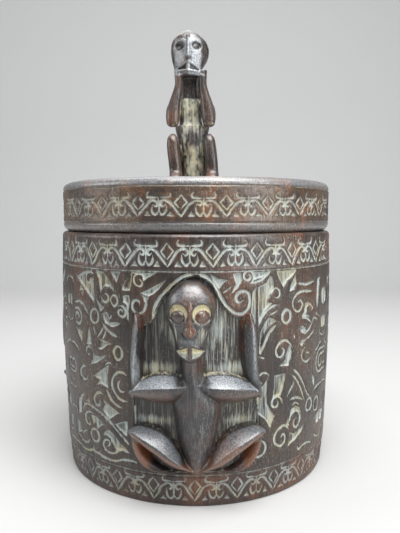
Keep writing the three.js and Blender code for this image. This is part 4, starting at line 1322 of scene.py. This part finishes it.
# %% [markdown]
# The handle of the lid is a seated figure with its hands at its cheeks. It is worked in the
# round: level ovals up the trunk and skull, and rounder limbs that stand free of the trunk.
# The trunk runs down into a tenon, which goes through the lid and takes the peg.

# %% Handle figure
# Trunk, shoulders and skull: height, half width, front, back, shift
BODY = [
    [0, 8.8, -8, 11, 0.2], [11.5, 9, -9.5, 12, 0.8], [22.4, 9.2, -10.5, 11, 0.8],
    [30, 10.8, -10.5, 10, 1.1], [36.3, 12.2, -10.5, 9.5, 1.1], [39.2, 12.8, -10.4, 9, 1.1],
    [40.4, 12.6, -10.2, 9, 1.1], [41.6, 9, -7.4, 8.5, 0.2], [52, 8.2, -7.2, 8, -0.6],
    [59.4, 7.6, -7, 8, -0.6], [60.6, 7.6, -5.4, 6, -0.6], [78, 7.8, -5.6, 5, -0.8],
]
SHOULDERS = [
    [46, 7.6, 0, 9.4, 0], [54, 11, 0.5, 9.6, 0], [60, 12, 1, 9, 0], [63, 9.4, 2, 7.6, 0],
    [65.5, 5.5, 2.6, 6, 0],
]
SKULL = [
    [75.8, 8.4, -13.6, -3, -2.2], [76.8, 9.4, -14.8, -1, -2.2], [80, 9.9, -15.6, 3, -2.1],
    [84, 11.4, -15.8, 6, -1.4], [89, 13.4, -15.8, 9, -0.6], [95, 14.2, -15.2, 11, -0.5],
    [100.5, 13, -13.8, 10.8, -1], [104, 10.2, -12, 9, -1.5], [107.2, 6.4, -9.2, 6, -1.9],
    [109.2, 3.2, -6, 2.4, -2], [110.6, 0.9, -3, 0, -2],
]
# Upright limbs: height, across, depth, half width, half depth
HANDLE_SHIN = [
    [0, 13.2, -15.4, 4.9, 8.4], [2.6, 13.2, -14.8, 5, 7.6], [6.5, 13.3, -12.9, 4.8, 5.4],
    [14, 13.5, -13, 4.7, 5.6], [24, 13.5, -13, 4.7, 5.4], [29.5, 13.4, -12.9, 4, 4.8],
    [33.6, 13.2, -12.4, 1.8, 2.2],
]
HANDLE_FOREARM = [
    [38.7, 13.3, -13, 2.4, 2.6], [40.3, 13.2, -13, 4.2, 4.3], [44, 13.1, -13, 5, 5],
    [50, 12.6, -12.8, 4.9, 4.8], [56.6, 11.4, -12.4, 4.3, 4.4], [63.7, 9.7, -12, 3.5, 4],
    [70, 8.8, -11.8, 2.9, 3.6], [80, 9.3, -11.4, 2.9, 3.2],
]
HANDLE_UPPER_ARM = [
    [40.5, 13.6, -10.6, 3.6, 4], [45, 13.6, -8.4, 4.8, 5.2], [52, 13.2, -4, 5.2, 5.6],
    [57, 11.6, -1, 5.2, 5.4], [60.5, 9.4, 1.5, 4, 4.4], [62.6, 7.5, 2, 2.4, 3],
]
# Thighs: depth, across, height, half width, half height. Nose: height, half width, front
HANDLE_THIGH = [
    [-14, 13.4, 27.5, 4.4, 5.6], [-6, 12.8, 22, 5, 7], [4, 11.4, 14, 5, 8], [10, 9, 9.5, 3.6, 7.5],
]
HANDLE_NOSE = [
    [86.4, 2.8, -17.4], [87.2, 3.4, -18.6], [90, 3.2, -18.8], [95, 2.1, -17.8], [100, 1.2, -16],
    [104.5, 0.8, -13.4],
]
FACE_SHIFT = -1.8
FACE_BACK = -12
SKEW = 2.4                       # how far the seat has slipped sideways against the head
SKEW_HEIGHT = 34
TENON_LENGTH = 30
HANDLE_VOXEL = 0.49


def level_rings(rows, power):
    """Level ovals up a trunk or a skull."""
    swing, depth = oval(power).T
    for height, half, front, back, shift in stations(rows):
        yield ring_of(shift + half * swing, (front + back) / 2 + (back - front) / 2 * depth, height)


def cut_handle_face(across, up):
    """The handle's face: two planes that meet in the nose, hollow eyes, and a mouth like a roof.
    Returns how far it is cut in, what is hollow, and the shadow under the nose."""
    sideways = np.abs(across)
    cut = 0.28 * sideways
    hollow = 0
    for side in (-1, 1):
        away = np.hypot((across - side * 6.1) / 3.4, (up - 96.4) / 3.1)
        eye = ramp(away, 1.15, -0.4)
        cut += 1.9 * eye - 0.5 * bell(away, 0.5) - 0.5 * bell(away - 1.45, 0.28) * ramp(up, 94, 3)
        cut += 0.9 * bell(across - side * 8, 3) * bell(up - 87.5, 4)
        hollow = np.maximum(hollow, eye)
    share = np.clip(1 - sideways / 8.8, 0, 1)
    roof = 79.6 + 4.6 * share
    mouth = ramp(up, roof, -0.6) * ramp(up, 79.4, 0.6) * (share > 0) * ramp(sideways, 1.2, 0.4)
    cut += 1.7 * mouth - 0.6 * bell(up - roof - 0.8, 0.7) * (share > 0)
    cut -= 0.7 * bell(up - 78.3, 0.8) * smooth_step(share * 4)
    under_nose = ramp(sideways, 3.6, -0.6) * ramp(up, 88.6, -0.8) * ramp(up, 85.4, 0.8)
    return cut, np.maximum(hollow, mouth), under_nose


bm = bmesh.new()
for rows, power in ((BODY, 2.6), (SHOULDERS, 2.2), (SKULL, 2.6)):
    tube(bm, list(level_rings(rows, power)))
swing, rise = oval(2.3).T
for side in (-1, 1):
    for limb in (HANDLE_SHIN, HANDLE_FOREARM, HANDLE_UPPER_ARM):
        tube(bm, [ring_of(side * (x + half * swing), y + deep * rise, height)
                  for height, x, y, half, deep in stations(limb)])
    tube(bm, [ring_of(side * (x + half * swing), y, np.maximum(height + high * rise, 0))
              for y, x, height, half, high in stations(HANDLE_THIGH)])
swing, rise = oval(1.6).T
tube(bm, [ring_of(FACE_SHIFT + half * swing, FACE_BACK + (front - FACE_BACK) * np.maximum(rise, 0), height)
          for height, half, front in stations(HANDLE_NOSE)])
bmesh.ops.create_cone(bm, cap_ends=True, segments=96, radius1=TENON_RADIUS, radius2=TENON_RADIUS,
                      depth=TENON_LENGTH + 3, matrix=Matrix.Translation((0, 0, 1.5 - TENON_LENGTH / 2)))
finial = fuse("handle_figure", bm, HANDLE_VOXEL, 2)
x, y, up = points_of(finial.data).T
facing = normals_of(finial.data)
up = np.maximum(up, np.where(np.hypot(x, y) > TENON_RADIUS + 0.4, 0, -TENON_LENGTH))
across = x - FACE_SHIFT
on_face = ramp(-y, 7, 4) * ramp(up, 75, 1.5) * ramp(up, 106, -6)
cut, hollow, under_nose = cut_handle_face(across, up)
y += cut * on_face
# Painted shade: the hollow eyes and mouth, and the place under the nose, are darkened.
dark = np.maximum(hollow, 0.6 * under_nose) * on_face
forearms = ramp(up, 74, -6) * ramp(up, 36, 4) * ramp(np.abs(x), 8, 3)
shield = on_face * ramp(np.abs(across + 0.4), 10.4, -1.4) * (1 - dark) * ramp(up, 104, -3)
facing_front = ramp(-facing[:, 1], 0.15, 0.5) * ramp(-y, 2, 2)
trunk = facing_front * ramp(np.abs(x - 0.6), 10.6, -3) * ramp(up, 62, -3) * ramp(y, -12.2, 1.5)
rim = ramp(up, 36, 2) * ramp(up, 42, -1) * facing_front
dark_patch = bell(x - 1.5, 4.5) * bell(up - 31, 5.5)
flat = ring_of(x, y, up)
mottle = 0.5 + 0.5 * noise(flat, (4, 4, 6)) + 0.5 * noise(flat, (1.6, 1.6, 2.2))
pale = np.maximum(trunk * (0.34 + 0.6 * mottle) * (1 - dark_patch), 0.9 * rim * mottle)
flat[:, 0] += SKEW * smooth_step(up / 3) * (1 - smooth_step(up / SKEW_HEIGHT))
flat += np.array((FINIAL_X, 0, LID_TOP))
worn = 0.1 * (1 + noise(flat, (7, 7, 12))) + 0.04 * noise(flat, GRAIN_CELL)
flat[:, :2] -= facing[:, :2] * worn[:, None]
move_points(finial.data, flat * MM)
keep_values(
    finial.data, residue=pale, cream=0.5 * pale, dark=dark, dull=trunk,
    # Under the nose the painted shade is also a little warm.
    warm=np.maximum(0.14 * forearms, 0.3 * under_nose * on_face),
    # Painted highlight, with some dust, on the face, stronger on its right half.
    bloom=shield * np.where(across > 0, 0.85, 0.357),
    polish=np.maximum(ramp(up, 75, 2) * (1 - dark), 0.4 * (1 - trunk)),
)
close_seams(finial, 75)

# %% [markdown]
# One recipe makes all the woods. Noise stretched along the grain mixes a dark and a brown wood,
# which shows red where its stain is worn. The numbers stored by the carving say where pale residue
# lies, where the wood is warmer, where hands have polished it, where shade is painted into the deep
# ground and the hollows, and where a highlight with some dust is painted onto the upper facets. The
# texture coordinates are the object's own metres, so the grain runs through from piece to piece.

# %% Woods
GRAIN_SCALE = 420                # waves of grain in a metre, across it
GRAIN_STRETCH = 0.07             # how much fewer there are along it
PALE = (178, 186, 182)
DULL_CREAM = (184, 176, 142)
CREAM = (222, 211, 170)
SHADOW_WOOD = (30, 27, 27)
# Pale speckled sheen on upper facets, rims and faces: a painted highlight, with some dust.
HIGHLIGHT_DUST_COLOUR = (158, 165, 172)
TRUNK_WOOD = (46, 47, 53)
COAT_IOR = 1.6


def wood(name, dark, brown, red, pale=PALE, along="z", roughness=0.42, residue_share=1.0,
         red_limit=0.62, red_size=34, film_share=0.3, sheen=0.25, bloom=HIGHLIGHT_DUST_COLOUR):
    """Carved wood with stain worn through, residue in its cuts, a hand polish, and painted shade and
    highlights where the carving marks them.
    """
    material = bpy.data.materials.new(name)
    recipe = Recipe(material, "Principled BSDF")
    stretch = {"x": (GRAIN_STRETCH, 1, 1), "z": (1, 1, GRAIN_STRETCH)}[along]
    grain = recipe.noise(GRAIN_SCALE, stretch, 4.0, 0.6)
    fine = recipe.noise(GRAIN_SCALE * 3.2, stretch, 3.0, 0.6)
    patch = recipe.noise(24, (1, 1, 0.6), 3.0, 0.5)
    speck = recipe.noise(1300, (1, 1, 0.4), 2.0, 0.6)
    deep = recipe.stored("depth").span(0.62, 0.8)
    dull = recipe.stored("dull")

    # Stain: dark and brown streaks, red in worn patches and where the carving marks it warm
    base = recipe.mix(grain.span(0.38, 0.64, 0, 0.7) + patch.span(0.4, 0.65, -0.15, 0.45), dark, brown)
    worn = recipe.noise(red_size, (1, 1, 0.7), 3.0, 0.6).span(red_limit - 0.1, red_limit + 0.08, 0, 0.8)
    warm = recipe.stored("warm") * grain.span(0.3, 0.6, 0.7, 1)
    base = recipe.mix((worn * fine.span(0.35, 0.6, 0.3, 1)).larger(warm), base, red)
    # Painted shade: the deep ground round the figures is darkened towards the shadow colour.
    base = recipe.mix(deep * 0.75, base, SHADOW_WOOD)
    base = recipe.mix(dull * 0.6, base, TRUNK_WOOD)
    # The stored dark: darker wood, and painted shade in hollows and creases.
    base = recipe.mix(recipe.stored("dark") * 0.85, base, SHADOW_WOOD)
    # Painted highlight, with some dust: the stored sheen blends in a pale speckled colour.
    base = recipe.mix(recipe.stored("bloom") * speck.span(0.36, 0.54, 0.25, 1), base, bloom)

    # Residue: in the cuts, as a thin film in patches, and in the scratches of the deep ground
    streak = grain.span(0.42, 0.58, 0, 0.6) + fine.span(0.4, 0.6, 0, 0.4)
    in_cuts = (recipe.stored("residue") * 1.7 + streak).span(1.05, 2.0, 0, 0.95 * residue_share)
    in_cuts = in_cuts * speck.span(0.3, 0.5, 0.7, 1)
    film = speck.span(0.57, 0.7, 0, film_share) * patch.span(0.4, 0.6, 0.1, 1)
    scratches = recipe.noise(900, (1, 1, 0.05), 3.0, 0.6).span(0.52, 0.64, 0, 0.65)
    scratches = scratches * patch.span(0.38, 0.62, 0.15, 1) * deep.larger(dull * 0.35)
    dusty = in_cuts.larger(film).larger(scratches)
    lying = recipe.mix(recipe.noise(70).span(0.46, 0.66, 0, 0.7), pale, DULL_CREAM)
    lying = recipe.mix(recipe.stored("cream"), lying, CREAM)

    polish = recipe.stored("polish").span(0, 1, sheen, 1)
    height = fine + speck * 0.5
    normal = recipe.node("Bump", "Normal", {"Strength": 0.5, "Distance": 0.0004, "Height": height})
    recipe.give({
        "Base Color": recipe.mix(dusty, base, lying),
        "Roughness": fine.span(0.3, 0.7, roughness - 0.06, roughness + 0.12) + dusty.span(0, 0.6, 0, 0.35),
        "Coat Weight": polish * dusty.span(0, 0.5, 1, 0.1),
        "Coat Roughness": fine.span(0.3, 0.7, 0.14, 0.32),
        "Coat IOR": COAT_IOR,
        "Normal": normal,
        "Coat Normal": normal,
    })
    return material


wall_wood = wood("wall_wood", (32, 27, 25), (70, 53, 42), (104, 64, 40), red_limit=0.64, film_share=0.42)
rim_wood = wood("rim_wood", (34, 28, 26), (72, 52, 42), (112, 66, 42), film_share=0.5, sheen=0.7)
foot_wood = wood("foot_wood", (38, 28, 24), (74, 50, 38), (112, 64, 38), residue_share=0.7)
figure_wood = wood("figure_wood", (30, 27, 28), (50, 42, 40), (128, 78, 46), roughness=0.34, film_share=0.4)
lid_wood = wood("lid_wood", (48, 38, 32), (90, 68, 50), (138, 88, 50), (178, 181, 172), "x", 0.36, 0.9,
                red_limit=0.64, red_size=80, film_share=0.55, sheen=0.6)
# The handle's painted highlight is paler still.
handle_wood = wood("handle_wood", (34, 30, 30), (62, 53, 50), (126, 86, 62), roughness=0.3,
                   film_share=0.35, bloom=(188, 194, 200))
plain_wood = wood("plain_wood", (96, 72, 52), (126, 98, 70), (120, 78, 48), along="x", roughness=0.6,
                  residue_share=0)

STAGE_GLOW = 0.23                # what the far backdrop adds for the camera alone
stage_white = bpy.data.materials.new("stage_white")
recipe = Recipe(stage_white, "Principled BSDF")
place = recipe.node("TexCoord", "Object")
far = recipe.node("SeparateXYZ", "Y", {"Vector": place}).span(0.1, 1.6, 0, STAGE_GLOW)
recipe.give({
    "Base Color": (0.51, 0.51, 0.505, 1),
    "Roughness": 0.9,
    "Emission Color": (0.97, 0.98, 1, 1),
    "Emission Strength": far * recipe.node("LightPath", "Is Camera Ray"),
})
cove.data.materials.append(stage_white)

# %% [markdown]
# Every piece gets its wood, hides the imported piece that it stands for, and rides on its body,
# so that it moves when the lid is lifted.

# %% Dress and mount the pieces
DRESSED = [(piece, wall_wood, "container_wall", "wall_wood", "container") for piece in wall_pieces]
DRESSED += [(piece, figure_wood, "container_wall", "wall_wood", "container") for piece in figure_pieces]
DRESSED += [
    (rim_band, rim_wood, "container_wall", "wall_wood", "container"),
    (foot_band, foot_wood, "container_wall", "wall_wood", "container"),
    (lid_body, lid_wood, "lid", "lid_wood", "lid"),
    (lid_band, lid_wood, "lid", "lid_wood", "lid"),
    (finial, handle_wood, "finial_figure", "finial_wood", "lid"),
]
for piece, material, node, slot, body in DRESSED:
    piece.data.materials.append(material)
    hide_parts(node)
    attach(piece, body)
for node, slot in (("floor_disc", "floor_wood"), ("finial_peg", "peg_wood")):
    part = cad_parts[node]
    part.data.materials.clear()
    part.data.materials.append(plain_wood)
